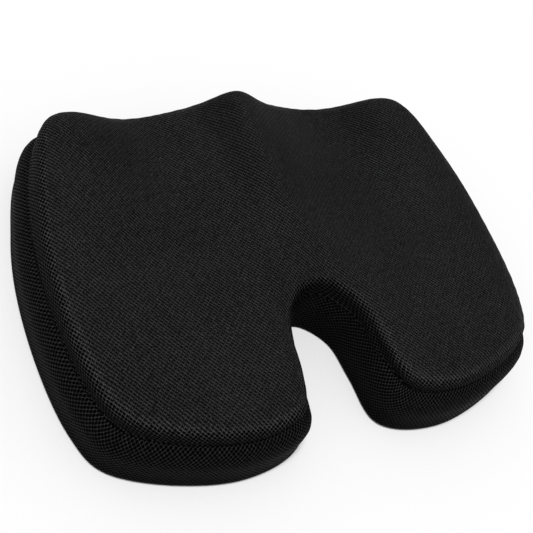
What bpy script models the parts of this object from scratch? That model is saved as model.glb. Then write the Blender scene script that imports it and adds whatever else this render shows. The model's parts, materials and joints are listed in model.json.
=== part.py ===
"""Contoured seat cushion with a tailbone cut-out: foam core, inner liner, sewn mesh cover and zip.

Metres, +Z up. The cushion lies on z = 0, +Y is the front edge with the ridge between the thighs,
+X is the sitter's right. Every layer is the cover's outer skin moved inwards by that layer's depth,
so a change to the skin carries through the cover, its seam tapes, the liner and the foam.
"""

import math

import bmesh
import bpy
import numpy as np
from mathutils import Vector
from mathutils.geometry import delaunay_2d_cdt

# ---- plan of the cover ----
WIDTH = 0.4564
LENGTH = 0.3557
FRONT_RADIUS = 0.760  # the front edge is one arc, and the zip follows it
FRONT_ARC_X = 0.124  # where the arc runs into the corner curve
SIDE_SHAPE = (  # front corner to rear lobe, as shares of half the width and half the length
    (0.833, 0.873), (0.966, 0.406), (1.0, -0.094), (0.951, -0.622), (0.872, -0.814), (0.436, -1.0))
CUTOUT_DEPTH = 0.1232  # from the rearmost point of the lobes to the head of the cut-out
CUTOUT_SHAPE = ((0.0386, 0.0166), (0.0321, 0.063), (0.0264, 0.1004))  # (half width, depth reached)

# ---- side wall ----
BASE_TUCK = 0.003  # how far the wall tucks under at the floor
TUCK_HEIGHT = 0.008
WALL_TOP = 0.028  # top of the upright part of the wall
SEAM_HEIGHT = 0.050  # the seam between the side band and the top panel
SEAM_INSET = 0.0096  # how far that seam is drawn in
CUTOUT_SEAM_INSET = 0.005  # the same inside the cut-out, where the wall stays smooth
CUTOUT_HALF_WIDTH = 0.060  # wall nearer the middle than this belongs to the cut-out
SEAM_FADE_START = 0.028  # depths into the cut-out between which the seam's inset changes
SEAM_FADE_END = 0.068
ROLL_WIDTH = 0.0336  # from the seam to where the top levels out
ROLL_POWER = 3.0  # 2 is a round edge, more is a squarer one

# ---- contours of the top ----
SEAT_HEIGHT = 0.0737
FRONT_RISE = 0.0184
FRONT_RISE_START_Y = -0.076
LOBE_INNER_X = 0.040
LOBE_OUTER_X = 0.160
RIDGE_HEIGHT = 0.0177
RIDGE_WIDTH = 0.0262
RIDGE_START_Y = -0.063
RIDGE_SETBACK = 0.010  # from the front edge to where the ridge is at its full height
LEG_VALLEY_DEPTH = 0.022
LEG_VALLEY_X = 0.1003
LEG_VALLEY_WIDTH = 0.0506
SEAT_DISH_DEPTH = 0.006
SEAT_DISH_CENTRE = (0.100, -0.018)
SEAT_DISH_RADII = (0.075, 0.080)
REAR_DROP = 0.0068
REAR_DROP_START_Y = -0.040

# ---- layers, from the outside in ----
CLEARANCE = 0.0003  # between pieces that touch
COVER_THICKNESS = 0.0025
TAPE_THICKNESS = 0.0006
LINER_THICKNESS = 0.0005
BASE_THICKNESS = 0.0015
SEAM_TAPE_FOOT = 0.009  # width of the lower tape's flat leg
SEAM_TAPE_LEG = 0.0055  # height that its upright leg reaches

# ---- zip, let into the front of the side band ----
ZIP_HEIGHT = 0.018  # height of its middle line
ZIP_WINDOW_LENGTH = 0.200
ZIP_WINDOW_HEIGHT = 0.011
ZIP_TAPE_OVERLAP = 0.006  # tape beyond each end of the window
ZIP_TAPE_THICKNESS = 0.0005
ZIP_TAPE_HEIGHT = 0.0084
ZIP_SLOT = 0.0012  # between the two tapes, for the slider's neck
COIL_HEIGHT = 0.003
COIL_THICKNESS = 0.0016
COIL_END_ROOM = 0.005  # from each end of the coils to the end of the window
STOP_LENGTH = 0.0025
STOP_PROUD = 0.0002
SLIDER_LENGTH = 0.010
SLIDER_PLATE = 0.0012
SLIDER_BACK_PLATE = 0.0008
SLIDER_NECK = 0.0006
SLIDER_LIP = 0.0007
ARCH_LENGTH = 0.0072
ARCH_WIDTH = 0.0016
ARCH_LEG = 0.0012
ARCH_BAR = 0.0010
ARCH_ROOM = 0.0021  # under the bar, where the pull turns
PULL_THICKNESS = 0.0012
PULL_ARM = 0.0010
PULL_LOOP_LENGTH = 0.0042
PULL_LENGTH = 0.024
PULL_WIDTH = 0.0064
PULL_SLOT_LENGTH = 0.004
PULL_SLOT_WIDTH = 0.0024

FRONT_Y = LENGTH / 2
REAR_Y = -LENGTH / 2

# ---- fineness of the solids ----
ARC_COLUMNS = 5  # from the middle of the front to one end of the zip window
SPAN_COLUMNS = 4  # between two points of the outline
COLUMN_PARTS = 10
LOOP_POINTS = 336
INSET_STEP = 0.0006
INSET_REACH = 0.030
CORNER_EASING = 0.009  # how quickly tight corners open up as the outline moves in
BULGE_STEPS = ((0.45, 0.25), (0.78, 0.62))  # shares of the height and of the seam's inset
ROLL_STEPS = (0.012, 0.05, 0.14, 0.28, 0.44)  # shares of ROLL_WIDTH
TOP_GRID = 0.022
GRID_MARGIN = 0.45  # share of TOP_GRID that the grid keeps clear of the roll


def smooth_step(value, start, end):
    """0 before start, 1 after end, eased between them."""
    share = np.clip((value - start) / (end - start), 0, 1)
    return share * share * (3 - 2 * share)


# ---- plan outline ----
def front_point(angle, depth=0.0):
    """Point of the front arc, moved inwards by depth."""
    radius = FRONT_RADIUS - depth
    return np.array([radius * math.sin(angle), FRONT_Y - FRONT_RADIUS + radius * math.cos(angle)])


def spline_span(before, start, end, after, steps):
    """One span of a centripetal Catmull-Rom curve, without its last point."""
    knots = [0.0]
    for first, second in ((before, start), (start, end), (end, after)):
        knots.append(knots[-1] + math.sqrt(np.linalg.norm(second - first)))
    t0, t1, t2, t3 = knots
    t = np.linspace(t1, t2, steps, endpoint=False)[:, None]
    a1 = (t1 - t) / (t1 - t0) * before + (t - t0) / (t1 - t0) * start
    a2 = (t2 - t) / (t2 - t1) * start + (t - t1) / (t2 - t1) * end
    a3 = (t3 - t) / (t3 - t2) * end + (t - t2) / (t3 - t2) * after
    b1 = (t2 - t) / (t2 - t0) * a1 + (t - t0) / (t2 - t0) * a2
    b2 = (t3 - t) / (t3 - t1) * a2 + (t - t1) / (t3 - t1) * a3
    return (t2 - t) / (t2 - t1) * b1 + (t - t1) / (t2 - t1) * b2


def window_angles():
    """Angles on the front arc of the columns from its middle to the end of the zip window."""
    return np.linspace(0, ZIP_WINDOW_LENGTH / 2 / FRONT_RADIUS, ARC_COLUMNS + 1)


def outline():
    """The closed outline, clockwise, with COLUMN_PARTS points to each column."""
    arc_end = math.asin(FRONT_ARC_X / FRONT_RADIUS)
    marks = np.append(window_angles(), arc_end)
    angles = np.concatenate([np.linspace(low, high, COLUMN_PARTS, endpoint=False)
                             for low, high in zip(marks[:-1], marks[1:])])
    arc = np.array([front_point(angle) for angle in angles])
    side = [np.array((x * WIDTH / 2, y * LENGTH / 2)) for x, y in SIDE_SHAPE]
    cutout = [np.array((x, REAR_Y + reach)) for x, reach in CUTOUT_SHAPE + ((0, CUTOUT_DEPTH),)]
    knots = [front_point(arc_end)] + side + cutout
    tangent = np.array([math.cos(arc_end), -math.sin(arc_end)])
    lead_in = knots[1] - 2 * np.dot(knots[1] - knots[0], tangent) * tangent
    lead_out = knots[-2] * (-1, 1)
    chain = [lead_in] + knots + [lead_out]
    spans = [spline_span(*chain[i:i + 4], SPAN_COLUMNS * COLUMN_PARTS) for i in range(len(chain) - 3)]
    half = np.vstack([arc] + spans)
    return np.vstack([half, knots[-1][None], half[1:][::-1] * (-1, 1)])


def inward_normals(loop):
    """Unit normals of a clockwise loop, pointing into it."""
    along = np.roll(loop, -1, axis=0) - np.roll(loop, 1, axis=0)
    along /= np.linalg.norm(along, axis=1, keepdims=True)
    return np.stack([along[:, 1], -along[:, 0]], axis=1)


class InsetPlan:
    """The outline moved inwards step by step, read at the columns of the mesh."""

    def __init__(self):
        dense = outline()
        closed = np.vstack([dense, dense[:1]])
        sides = np.linalg.norm(np.diff(closed, axis=0), axis=1)
        reached = np.concatenate([[0], np.cumsum(sides)])
        spacing = reached[-1] / LOOP_POINTS
        even = np.arange(LOOP_POINTS) * spacing
        loop = np.stack([np.interp(even, reached, closed[:, axis]) for axis in (0, 1)], axis=1)
        easing = CORNER_EASING * INSET_STEP / spacing**2
        rings = [loop]
        for _ in range(int(INSET_REACH / INSET_STEP)):
            loop = loop + inward_normals(loop) * INSET_STEP
            loop = loop + easing * (np.roll(loop, 1, axis=0) - 2 * loop + np.roll(loop, -1, axis=0))
            rings.append(loop)
        self.rings = np.array(rings)
        self.place = reached[:-1][::COLUMN_PARTS] / spacing
        self.count = len(self.place)

    def at(self, inset):
        """Plan position of every column, each at its own inset."""
        row = np.broadcast_to(np.asarray(inset) / INSET_STEP, self.count)
        low = np.minimum(row.astype(int), len(self.rings) - 2)
        share = (row - low)[:, None]
        before = self.place.astype(int) % LOOP_POINTS
        after = (before + 1) % LOOP_POINTS
        along = (self.place % 1)[:, None]
        rings = [self.rings[k, before] * (1 - along) + self.rings[k, after] * along
                 for k in (low, low + 1)]
        return rings[0] * (1 - share) + rings[1] * share


# ---- contours ----
def top_height(x, y):
    """Height of the top where it has levelled out behind the roll."""
    aside = np.abs(x)
    front = smooth_step(y, FRONT_RISE_START_Y, FRONT_Y)
    height = SEAT_HEIGHT + FRONT_RISE * front * smooth_step(aside, LOBE_INNER_X, LOBE_OUTER_X)
    forward = smooth_step(y, RIDGE_START_Y, FRONT_Y - RIDGE_SETBACK)
    height = height + RIDGE_HEIGHT * forward * np.exp(-((aside / RIDGE_WIDTH) ** 2))
    valley = np.exp(-(((aside - LEG_VALLEY_X) / LEG_VALLEY_WIDTH) ** 2))
    height = height - LEG_VALLEY_DEPTH * forward * valley
    dish = ((aside - SEAT_DISH_CENTRE[0]) / SEAT_DISH_RADII[0]) ** 2
    dish = dish + ((y - SEAT_DISH_CENTRE[1]) / SEAT_DISH_RADII[1]) ** 2
    height = height - SEAT_DISH_DEPTH * np.exp(-dish)
    return height - REAR_DROP * smooth_step(-y, -REAR_DROP_START_Y, -REAR_Y)


def roll_share(share):
    """How much of its height the rolled edge has gained, share of the way in from the seam."""
    share = np.clip(share, 0, 1)
    return (1 - (1 - share) ** ROLL_POWER) ** (1 / ROLL_POWER)


def distance_to_loop(points, loop):
    """Distance from each point to the nearest side of a closed loop."""
    start, end = loop, np.roll(loop, -1, axis=0)
    side = end - start
    away = points[:, None] - start[None]
    share = np.clip((away * side).sum(2) / (side * side).sum(1), 0, 1)
    return np.linalg.norm(away - share[:, :, None] * side, axis=2).min(axis=1)


def fill_loop(loop, extra):
    """Triangles that fill a closed plan loop through the extra points inside it."""
    points = [Vector(point) for point in np.vstack([loop, extra])]
    count = len(loop)
    edges = [(i, (i + 1) % count) for i in range(count)]
    found = delaunay_2d_cdt(points, edges, [], 1, 1e-7)
    origin = [indices[0] for indices in found[3]]
    return [[origin[corner] for corner in face] for face in found[2]]


def split_quad(first, second, third, fourth):
    """Two triangles, always cut the same way, so that nested layers stay parallel."""
    return [[first, second, third], [first, third, fourth]]


class Skin:
    """The cover's outer surface: rings up the wall and over the roll, then the filled top."""

    def __init__(self, plan):
        self.plan = plan
        self.count = plan.count
        self.seam_inset = self.seam_insets()
        self.points, self.names = self.wall_rings()
        self.add_roll()
        self.cap_faces = self.add_top()
        self.points = np.vstack(self.points)
        self.normals = self.vertex_normals()
        self.straighten_foot()

    def seam_insets(self):
        edge = self.plan.at(0)
        inside = smooth_step(edge[:, 1] - REAR_Y, SEAM_FADE_START, SEAM_FADE_END)
        inside = inside * (np.abs(edge[:, 0]) < CUTOUT_HALF_WIDTH) * (edge[:, 1] < 0)
        return SEAM_INSET + (CUTOUT_SEAM_INSET - SEAM_INSET) * inside

    def wall_rings(self):
        """Rings from the floor to the seam, each with the name that the pieces use for it."""
        half_window = ZIP_WINDOW_HEIGHT / 2
        rings = [("foot", BASE_TUCK, 0), ("tuck", 0, TUCK_HEIGHT),
                 ("window_low", 0, ZIP_HEIGHT - half_window),
                 ("window_high", 0, ZIP_HEIGHT + half_window), ("wall_top", 0, WALL_TOP)]
        for i, (height, inset) in enumerate(BULGE_STEPS):
            rings.append((f"bulge_{i}", self.seam_inset * inset,
                          WALL_TOP + (SEAM_HEIGHT - WALL_TOP) * height))
        rings.append(("seam", self.seam_inset, SEAM_HEIGHT))
        points = [np.column_stack([self.plan.at(inset), np.full(self.count, height)])
                  for _, inset, height in rings]
        return points, [name for name, _, _ in rings]

    def add_roll(self):
        for i, share in enumerate(ROLL_STEPS):
            spot = self.plan.at(self.seam_inset + ROLL_WIDTH * share)
            rise = top_height(spot[:, 0], spot[:, 1]) - SEAM_HEIGHT
            self.points.append(np.column_stack([spot, SEAM_HEIGHT + rise * roll_share(share)]))
            self.names.append(f"roll_{i}")

    def add_top(self):
        inner = self.points[-1][:, :2]
        seam = self.points[self.names.index("seam")][:, :2]
        steps = np.arange(-int(WIDTH / 2 / TOP_GRID), int(WIDTH / 2 / TOP_GRID) + 1) * TOP_GRID
        grid = np.array([(x, y) for x in steps for y in steps])
        side = np.roll(inner, -1, axis=0) - inner
        away = grid[:, None] - inner[None]
        crossing = (away[:, :, 1] > 0) != (away[:, :, 1] > side[:, 1])
        reach = away[:, :, 1] * side[:, 0] / np.where(side[:, 1] == 0, 1, side[:, 1])
        inside = (crossing & (away[:, :, 0] < reach)).sum(axis=1) % 2 == 1
        grid = grid[inside & (distance_to_loop(grid, inner) > TOP_GRID * GRID_MARGIN)]
        rise = top_height(grid[:, 0], grid[:, 1]) - SEAM_HEIGHT
        height = SEAM_HEIGHT + rise * roll_share(distance_to_loop(grid, seam) / ROLL_WIDTH)
        start = (len(self.names) - 1) * self.count
        self.points.append(np.column_stack([grid, height]))
        return [[corner + start for corner in face] for face in fill_loop(inner, grid)]

    def ring(self, name):
        start = self.names.index(name) * self.count
        return np.arange(start, start + self.count)

    def strip(self, *names):
        """Triangles between rings, from the lower to the upper."""
        faces = []
        for low, high in zip(names[:-1], names[1:]):
            below, above = self.ring(low), self.ring(high)
            for i in range(self.count):
                j = (i + 1) % self.count
                faces += split_quad(below[i], above[i], above[j], below[j])
        return faces

    def vertex_normals(self):
        total = np.zeros_like(self.points)
        for face in self.strip(*self.names) + self.cap_faces:
            first, second, third = self.points[face]
            total[face] += np.cross(second - first, third - first)
        return total / np.linalg.norm(total, axis=1, keepdims=True)

    def straighten_foot(self):
        """Level the lowest ring's normals, so that each layer's foot stays at its own height."""
        foot = self.ring("foot")
        level = self.normals[foot] * (1, 1, 0)
        slope = math.hypot(BASE_TUCK, TUCK_HEIGHT) / TUCK_HEIGHT
        self.normals[foot] = level / np.linalg.norm(level, axis=1, keepdims=True) * slope

    def layer(self, depth, dent=0.0):
        """The skin moved inwards by depth, and by dent more behind the zip."""
        depths = np.full(len(self.points), float(depth))
        behind_zip = np.arange(-ARC_COLUMNS, ARC_COLUMNS + 1)
        for name in ("tuck", "wall_top"):
            depths[self.ring(name)[behind_zip]] += dent
        return self.points - self.normals * depths[:, None]

    def low_ring(self, height, depth):
        """A ring in the tucked part of the wall, at its own height and depth."""
        foot, tuck = self.ring("foot"), self.ring("tuck")
        share = height / TUCK_HEIGHT
        points = self.points[foot] * (1 - share) + self.points[tuck] * share
        return points - self.normals[foot] * depth


# ---- solids ----
def material(name, colour, roughness, metallic=0.0):
    made = bpy.data.materials.new(name)
    made.use_nodes = True
    shader = made.node_tree.nodes["Principled BSDF"]
    shader.inputs["Base Color"].default_value = (*colour, 1)
    shader.inputs["Roughness"].default_value = roughness
    shader.inputs["Metallic"].default_value = metallic
    return made


def face_outwards(mesh):
    """Turn every face outwards, whatever order its corners came in."""
    shape = bmesh.new()
    shape.from_mesh(mesh)
    bmesh.ops.recalc_face_normals(shape, faces=shape.faces)
    shape.to_mesh(mesh)
    shape.free()


def add_solid(name, points, faces, finish, parent=None):
    """A mesh object of its used points, with its origin at its parent's."""
    used = sorted({corner for face in faces for corner in face})
    number = {old: new for new, old in enumerate(used)}
    place = parent.matrix_world.inverted() if parent else None
    corners = [Vector(points[old]) for old in used]
    if place:
        corners = [place @ corner for corner in corners]
    mesh = bpy.data.meshes.new(name)
    mesh.from_pydata(corners, [], [[number[corner] for corner in face] for face in faces])
    face_outwards(mesh)
    mesh.materials.append(finish)
    solid = bpy.data.objects.new(name, mesh)
    solid.parent = parent
    bpy.context.scene.collection.objects.link(solid)
    return solid


def close_sheet(outer, inner, faces):
    """Points and faces of the closed body between two copies of one sheet."""
    count = len(outer)
    sides = {}
    for face in faces:
        for start, end in zip(face, face[1:] + face[:1]):
            sides[(start, end)] = True
    rim = [(start, end) for start, end in sides if (end, start) not in sides]
    closed = [list(face) for face in faces]
    closed += [[corner + count for corner in reversed(face)] for face in faces]
    closed += [[end, start, start + count, end + count] for start, end in rim]
    return np.vstack([outer, inner]), closed


def prism(section, start, end):
    """Points and faces of a straight bar: section is a loop of (v, w), start and end are along u."""
    count = len(section)
    points = [(u, v, w) for u in (start, end) for v, w in section]
    faces = [[i, (i + 1) % count, (i + 1) % count + count, i + count] for i in range(count)]
    faces += [list(range(count))[::-1], [i + count for i in range(count)]]
    return np.array(points), faces


def moved(points, ring, height):
    """A copy of points with one ring shifted up or down."""
    changed = points.copy()
    changed[ring, 2] += height
    return changed


# ---- cover ----
def window_faces(skin):
    """The faces of the band that the zip window leaves out."""
    low = skin.ring("window_low")
    return {low[i] for i in range(-ARC_COLUMNS, ARC_COLUMNS)}


def wall_names(skin, start, end):
    return skin.names[skin.names.index(start):skin.names.index(end) + 1]


def make_cover(skin, finishes):
    seam = skin.ring("seam")
    outer, inner = skin.layer(0), skin.layer(COVER_THICKNESS)

    left_out = window_faces(skin)
    band = [face for face in skin.strip(*wall_names(skin, "foot", "seam")) if face[0] not in left_out]
    half_gap = CLEARANCE / 2
    add_solid("cover_side_band", *close_sheet(moved(outer, seam, -half_gap),
                                              moved(inner, seam, -half_gap), band),
              finishes["cover_mesh"])

    panel = skin.strip(*wall_names(skin, "seam", skin.names[-1])) + skin.cap_faces
    add_solid("cover_top_panel", *close_sheet(moved(outer, seam, half_gap),
                                              moved(inner, seam, half_gap), panel),
              finishes["cover_mesh"])

    edge = skin.low_ring(0, COVER_THICKNESS) - skin.normals[skin.ring("foot")] * CLEARANCE
    count = skin.count
    points = np.vstack([edge, edge + (0, 0, BASE_THICKNESS)])
    faces = [[i, i + count, (i + 1) % count + count, (i + 1) % count] for i in range(count)]
    flat = fill_loop(edge[:, :2], np.empty((0, 2)))
    faces += [list(reversed(face)) for face in flat] + [[i + count for i in face] for face in flat]
    add_solid("cover_base_panel", points, faces, finishes["base_fabric"])


def make_seam_tapes(skin, finishes):
    """The upper tape bridges the seam from behind, the lower one is an angle over wall and base."""
    depth = COVER_THICKNESS + CLEARANCE
    last_bulge = f"bulge_{len(BULGE_STEPS) - 1}"
    add_solid("upper_seam_tape", *close_sheet(skin.layer(depth), skin.layer(depth + TAPE_THICKNESS),
                                              skin.strip(last_bulge, "seam", "roll_0", "roll_1")),
              finishes["seam_tape"])

    back = depth + TAPE_THICKNESS
    under = BASE_THICKNESS + CLEARANCE
    over = under + TAPE_THICKNESS
    outer = [skin.low_ring(under, back + SEAM_TAPE_FOOT), skin.low_ring(under, depth),
             skin.low_ring(SEAM_TAPE_LEG, depth)]
    inner = [skin.low_ring(over, back + SEAM_TAPE_FOOT), skin.low_ring(over, back),
             skin.low_ring(SEAM_TAPE_LEG, back)]
    faces = []
    for start in (0, skin.count):
        for i in range(skin.count):
            j = (i + 1) % skin.count
            faces += split_quad(start + i, start + skin.count + i, start + skin.count + j, start + j)
    add_solid("lower_seam_tape", *close_sheet(np.vstack(outer), np.vstack(inner), faces),
              finishes["seam_tape"])


# ---- liner and foam ----
def zip_dent():
    """Room behind the zip for the slider's back plate."""
    zip_depth = COVER_THICKNESS + ZIP_TAPE_THICKNESS + SLIDER_BACK_PLATE + 4 * CLEARANCE
    return max(zip_depth - liner_depth(), 0) + CLEARANCE


def liner_depth():
    return COVER_THICKNESS + TAPE_THICKNESS + 2 * CLEARANCE


def foam_depth():
    return liner_depth() + LINER_THICKNESS + CLEARANCE


def floor_of(skin, height, depth):
    """Bottom ring of an inner layer and the triangles that close it."""
    ring = skin.low_ring(height, depth)
    start = len(skin.points)
    flat = fill_loop(ring[:, :2], np.empty((0, 2)))
    return ring, start, [[corner + start for corner in reversed(face)] for face in flat]


def foot_strip(skin, start):
    """Faces from an added bottom ring up to the tuck ring."""
    tuck = skin.ring("tuck")
    faces = []
    for i in range(skin.count):
        j = (i + 1) % skin.count
        faces += split_quad(start + i, tuck[i], tuck[j], start + j)
    return faces


def make_liner(skin, finishes):
    half_gap = CLEARANCE / 2
    split = skin.ring("wall_top")
    outer = skin.layer(liner_depth(), zip_dent())
    inner = skin.layer(liner_depth() + LINER_THICKNESS, zip_dent())

    upper = skin.strip(*wall_names(skin, "wall_top", skin.names[-1])) + skin.cap_faces
    add_solid("inner_liner_upper", *close_sheet(moved(outer, split, half_gap),
                                                moved(inner, split, half_gap), upper),
              finishes["liner"])

    under = BASE_THICKNESS + TAPE_THICKNESS + 2 * CLEARANCE
    low, start, bottom = floor_of(skin, under, liner_depth())
    high = skin.low_ring(under + LINER_THICKNESS, liner_depth() + LINER_THICKNESS)
    tray = foot_strip(skin, start) + skin.strip("tuck", "wall_top") + bottom
    add_solid("inner_liner_lower", *close_sheet(np.vstack([moved(outer, split, -half_gap), low]),
                                                np.vstack([moved(inner, split, -half_gap), high]), tray),
              finishes["liner"])


def make_foam(skin, finishes):
    surface = skin.layer(foam_depth(), zip_dent())
    under = BASE_THICKNESS + TAPE_THICKNESS + LINER_THICKNESS + 3 * CLEARANCE
    low, start, bottom = floor_of(skin, under, foam_depth())
    faces = foot_strip(skin, start) + skin.strip("tuck", *wall_names(skin, "wall_top", skin.names[-1]))
    add_solid("foam_core", np.vstack([surface, low]), faces + skin.cap_faces + bottom,
              finishes["foam"])


# ---- zip ----
def on_front(length, depth):
    """Point of the faceted front wall, at a length along it and a depth behind it."""
    marks = window_angles()
    marks = np.concatenate([-marks[:0:-1], marks, [math.asin(FRONT_ARC_X / FRONT_RADIUS)]])
    marks = np.concatenate([[-marks[-1]], marks])
    angle = length / FRONT_RADIUS
    last = np.clip(np.searchsorted(marks, angle, side="right"), 1, len(marks) - 1)
    share = (angle - marks[last - 1]) / (marks[last] - marks[last - 1])
    return front_point(marks[last - 1], depth) * (1 - share) + front_point(marks[last], depth) * share


def arc_bar(name, start, end, near, far, low, high, finish):
    """A bar that follows the front wall, from depth near to far and height low to high."""
    marks = window_angles() * FRONT_RADIUS
    marks = np.concatenate([-marks[:0:-1], marks])
    lengths = [start] + [mark for mark in marks if start + CLEARANCE < mark < end - CLEARANCE] + [end]
    points = []
    for length in lengths:
        for depth, height in ((near, low), (near, high), (far, high), (far, low)):
            points.append((*on_front(length, depth), height))
    faces = [[0, 1, 2, 3], [len(points) - 1 - k for k in range(4)]]
    for k in range(len(lengths) - 1):
        faces += [[4 * k + i, 4 * k + 4 + i, 4 * k + 4 + (i + 1) % 4, 4 * k + (i + 1) % 4]
                  for i in range(4)]
    return add_solid(name, np.array(points), faces, finish)


def coil_reach():
    """Half the length of the coils."""
    return ZIP_WINDOW_LENGTH / 2 - COIL_END_ROOM


def coil_face():
    """Depth of the coils' outer face."""
    return COVER_THICKNESS - COIL_THICKNESS


def make_zip_chain(finishes):
    tape_depth = COVER_THICKNESS + CLEARANCE
    reach = coil_reach()
    tape_reach = ZIP_WINDOW_LENGTH / 2 + ZIP_TAPE_OVERLAP
    stop_face = coil_face() - STOP_PROUD
    for side, sign in (("upper", 1), ("lower", -1)):
        tape = sorted(ZIP_HEIGHT + sign * height for height in
                      (ZIP_SLOT / 2, ZIP_SLOT / 2 + ZIP_TAPE_HEIGHT))
        coil = sorted(ZIP_HEIGHT + sign * height for height in
                      (ZIP_SLOT / 2, ZIP_SLOT / 2 + COIL_HEIGHT))
        arc_bar(f"zipper_tape_{side}", -tape_reach, tape_reach, tape_depth,
                tape_depth + ZIP_TAPE_THICKNESS, *tape, finishes["zip_tape"])
        arc_bar(f"zipper_coil_{side}", -reach, reach, coil_face(), COVER_THICKNESS, *coil,
                finishes["zip_coil"])
        arc_bar(f"zipper_top_stop_{side}", reach + CLEARANCE, reach + CLEARANCE + STOP_LENGTH,
                stop_face, COVER_THICKNESS, *coil, finishes["zip_metal"])
    half = ZIP_SLOT / 2 + COIL_HEIGHT
    arc_bar("zipper_bottom_stop", -reach - CLEARANCE - STOP_LENGTH, -reach - CLEARANCE, stop_face,
            COVER_THICKNESS, ZIP_HEIGHT - half, ZIP_HEIGHT + half, finishes["zip_metal"])


def slider_section():
    """The slider across the zip, as (outwards, upwards) from the wall's face and the zip's middle."""
    plate_back = -coil_face() + CLEARANCE
    plate_front = plate_back + SLIDER_PLATE
    lip_inner = ZIP_SLOT / 2 + COIL_HEIGHT + CLEARANCE
    lip_outer = lip_inner + SLIDER_LIP
    lip_end = -COVER_THICKNESS
    neck = SLIDER_NECK / 2
    back_front = -(COVER_THICKNESS + ZIP_TAPE_THICKNESS + 2 * CLEARANCE)
    back_rear = back_front - SLIDER_BACK_PLATE
    half = [(plate_front, lip_outer), (lip_end, lip_outer), (lip_end, lip_inner),
            (plate_back, lip_inner), (plate_back, neck), (back_front, neck),
            (back_front, lip_inner), (back_rear, lip_inner)]
    return half + [(v, -w) for v, w in reversed(half)], plate_front


def arch_section(plate_front):
    """The arch seen from the side, as (along, outwards); its feet sink into the plate."""
    outer, inner = ARCH_LENGTH / 2, ARCH_LENGTH / 2 - ARCH_LEG
    foot = plate_front - SLIDER_PLATE / 4
    under = plate_front + ARCH_ROOM
    over = under + ARCH_BAR
    chamfer = ARCH_BAR / 2
    return [(-outer, foot), (-outer, over - chamfer), (-outer + chamfer, over), (outer - chamfer, over),
            (outer, over - chamfer), (outer, foot), (inner, foot), (inner, under), (-inner, under),
            (-inner, foot)]


def make_slider(finishes):
    """The slider at the closed end of the zip; returns the empty that its pull turns on."""
    reach = coil_reach() - CLEARANCE - SLIDER_LENGTH / 2
    angle = reach / FRONT_RADIUS
    track = bpy.data.objects.new("zip_track_centre", None)
    track.location = (0, FRONT_Y - FRONT_RADIUS, ZIP_HEIGHT)
    seat = bpy.data.objects.new("zip_slider_seat", None)
    seat.location = (FRONT_RADIUS * math.sin(angle), FRONT_RADIUS * math.cos(angle), 0)
    seat.rotation_euler = (0, 0, -angle)
    seat.parent = track
    pivot = bpy.data.objects.new("zip_pull_pivot", None)
    section, plate_front = slider_section()
    pivot.location = (0, plate_front + ARCH_ROOM / 2, 0)
    pivot.parent = seat
    for empty in (track, seat, pivot):
        bpy.context.scene.collection.objects.link(empty)
    bpy.context.view_layer.update()

    half_length = SLIDER_LENGTH / 2
    points, faces = prism(section, -half_length, half_length)
    slider = add_solid("zipper_slider", local_to(seat, points), faces, finishes["zip_metal"], seat)
    points, faces = prism(arch_section(plate_front), -ARCH_WIDTH / 2, ARCH_WIDTH / 2)
    arch = add_solid("slider_arch_guide", local_to(seat, points[:, (1, 2, 0)]), faces,
                     finishes["zip_metal"], seat)
    arch.hide_render = True
    arch.display_type = "WIRE"
    union = slider.modifiers.new("arch", "BOOLEAN")
    union.operation = "UNION"
    union.object = arch
    return pivot


def local_to(empty, points):
    """World positions of points given in an empty's own axes."""
    return np.array([empty.matrix_world @ Vector(point) for point in points])


def plate_with_openings(outer, openings):
    """Triangles of a flat plate given its outer loop and the loops of its openings."""
    loops = [outer] + openings
    points = [Vector(point) for loop in loops for point in loop]
    rims, start = [], 0
    for loop in loops:
        rims.append([start + i for i in range(len(loop))])
        start += len(loop)
    edges = [(rim[i], rim[(i + 1) % len(rim)]) for rim in rims for i in range(len(rim))]
    found = delaunay_2d_cdt(points, edges, [], 1, 1e-7)
    origin = [indices[0] for indices in found[3]]
    flat = []
    for face in found[2]:
        corners = [origin[corner] for corner in face]
        middle = sum((points[corner] for corner in corners), Vector((0, 0))) / 3
        if not any(in_box(middle, loop) for loop in openings):
            flat.append(corners)
    return points, rims, flat


def in_box(point, loop):
    xs, ys = [corner[0] for corner in loop], [corner[1] for corner in loop]
    return min(xs) < point[0] < max(xs) and min(ys) < point[1] < max(ys)


def rectangle(left, right, half_height):
    return [(left, -half_height), (right, -half_height), (right, half_height), (left, half_height)]


def make_pull(pivot, finishes):
    """The pull, flat along the zip; the strip at its end is the pin that turns under the arch."""
    pin = PULL_THICKNESS / 2
    room = ARCH_WIDTH / 2 + CLEARANCE
    arm = room + PULL_ARM
    web = -pin - PULL_LOOP_LENGTH
    tip = -PULL_LENGTH
    shoulder = web - PULL_WIDTH / 2
    round_end = PULL_WIDTH / 4
    half = [(pin, arm), (web, arm), (shoulder, PULL_WIDTH / 2), (tip + round_end, PULL_WIDTH / 2),
            (tip, PULL_WIDTH / 4)]
    outer = half + [(u, -w) for u, w in reversed(half)]
    slot_start = tip + PULL_WIDTH / 3
    openings = [rectangle(web, -pin, room),
                rectangle(slot_start, slot_start + PULL_SLOT_LENGTH, PULL_SLOT_WIDTH / 2)]
    flat_points, rims, flat = plate_with_openings(outer, openings)
    count = len(flat_points)
    points = [(u, v, w) for v in (pin, -pin) for u, w in flat_points]
    faces = [list(face) for face in flat] + [[i + count for i in reversed(face)] for face in flat]
    for rim in rims:
        faces += [[rim[i], rim[i] + count, rim[(i + 1) % len(rim)] + count, rim[(i + 1) % len(rim)]]
                  for i in range(len(rim))]
    add_solid("zipper_pull", local_to(pivot, points), faces, finishes["zip_metal"], pivot)


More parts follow.
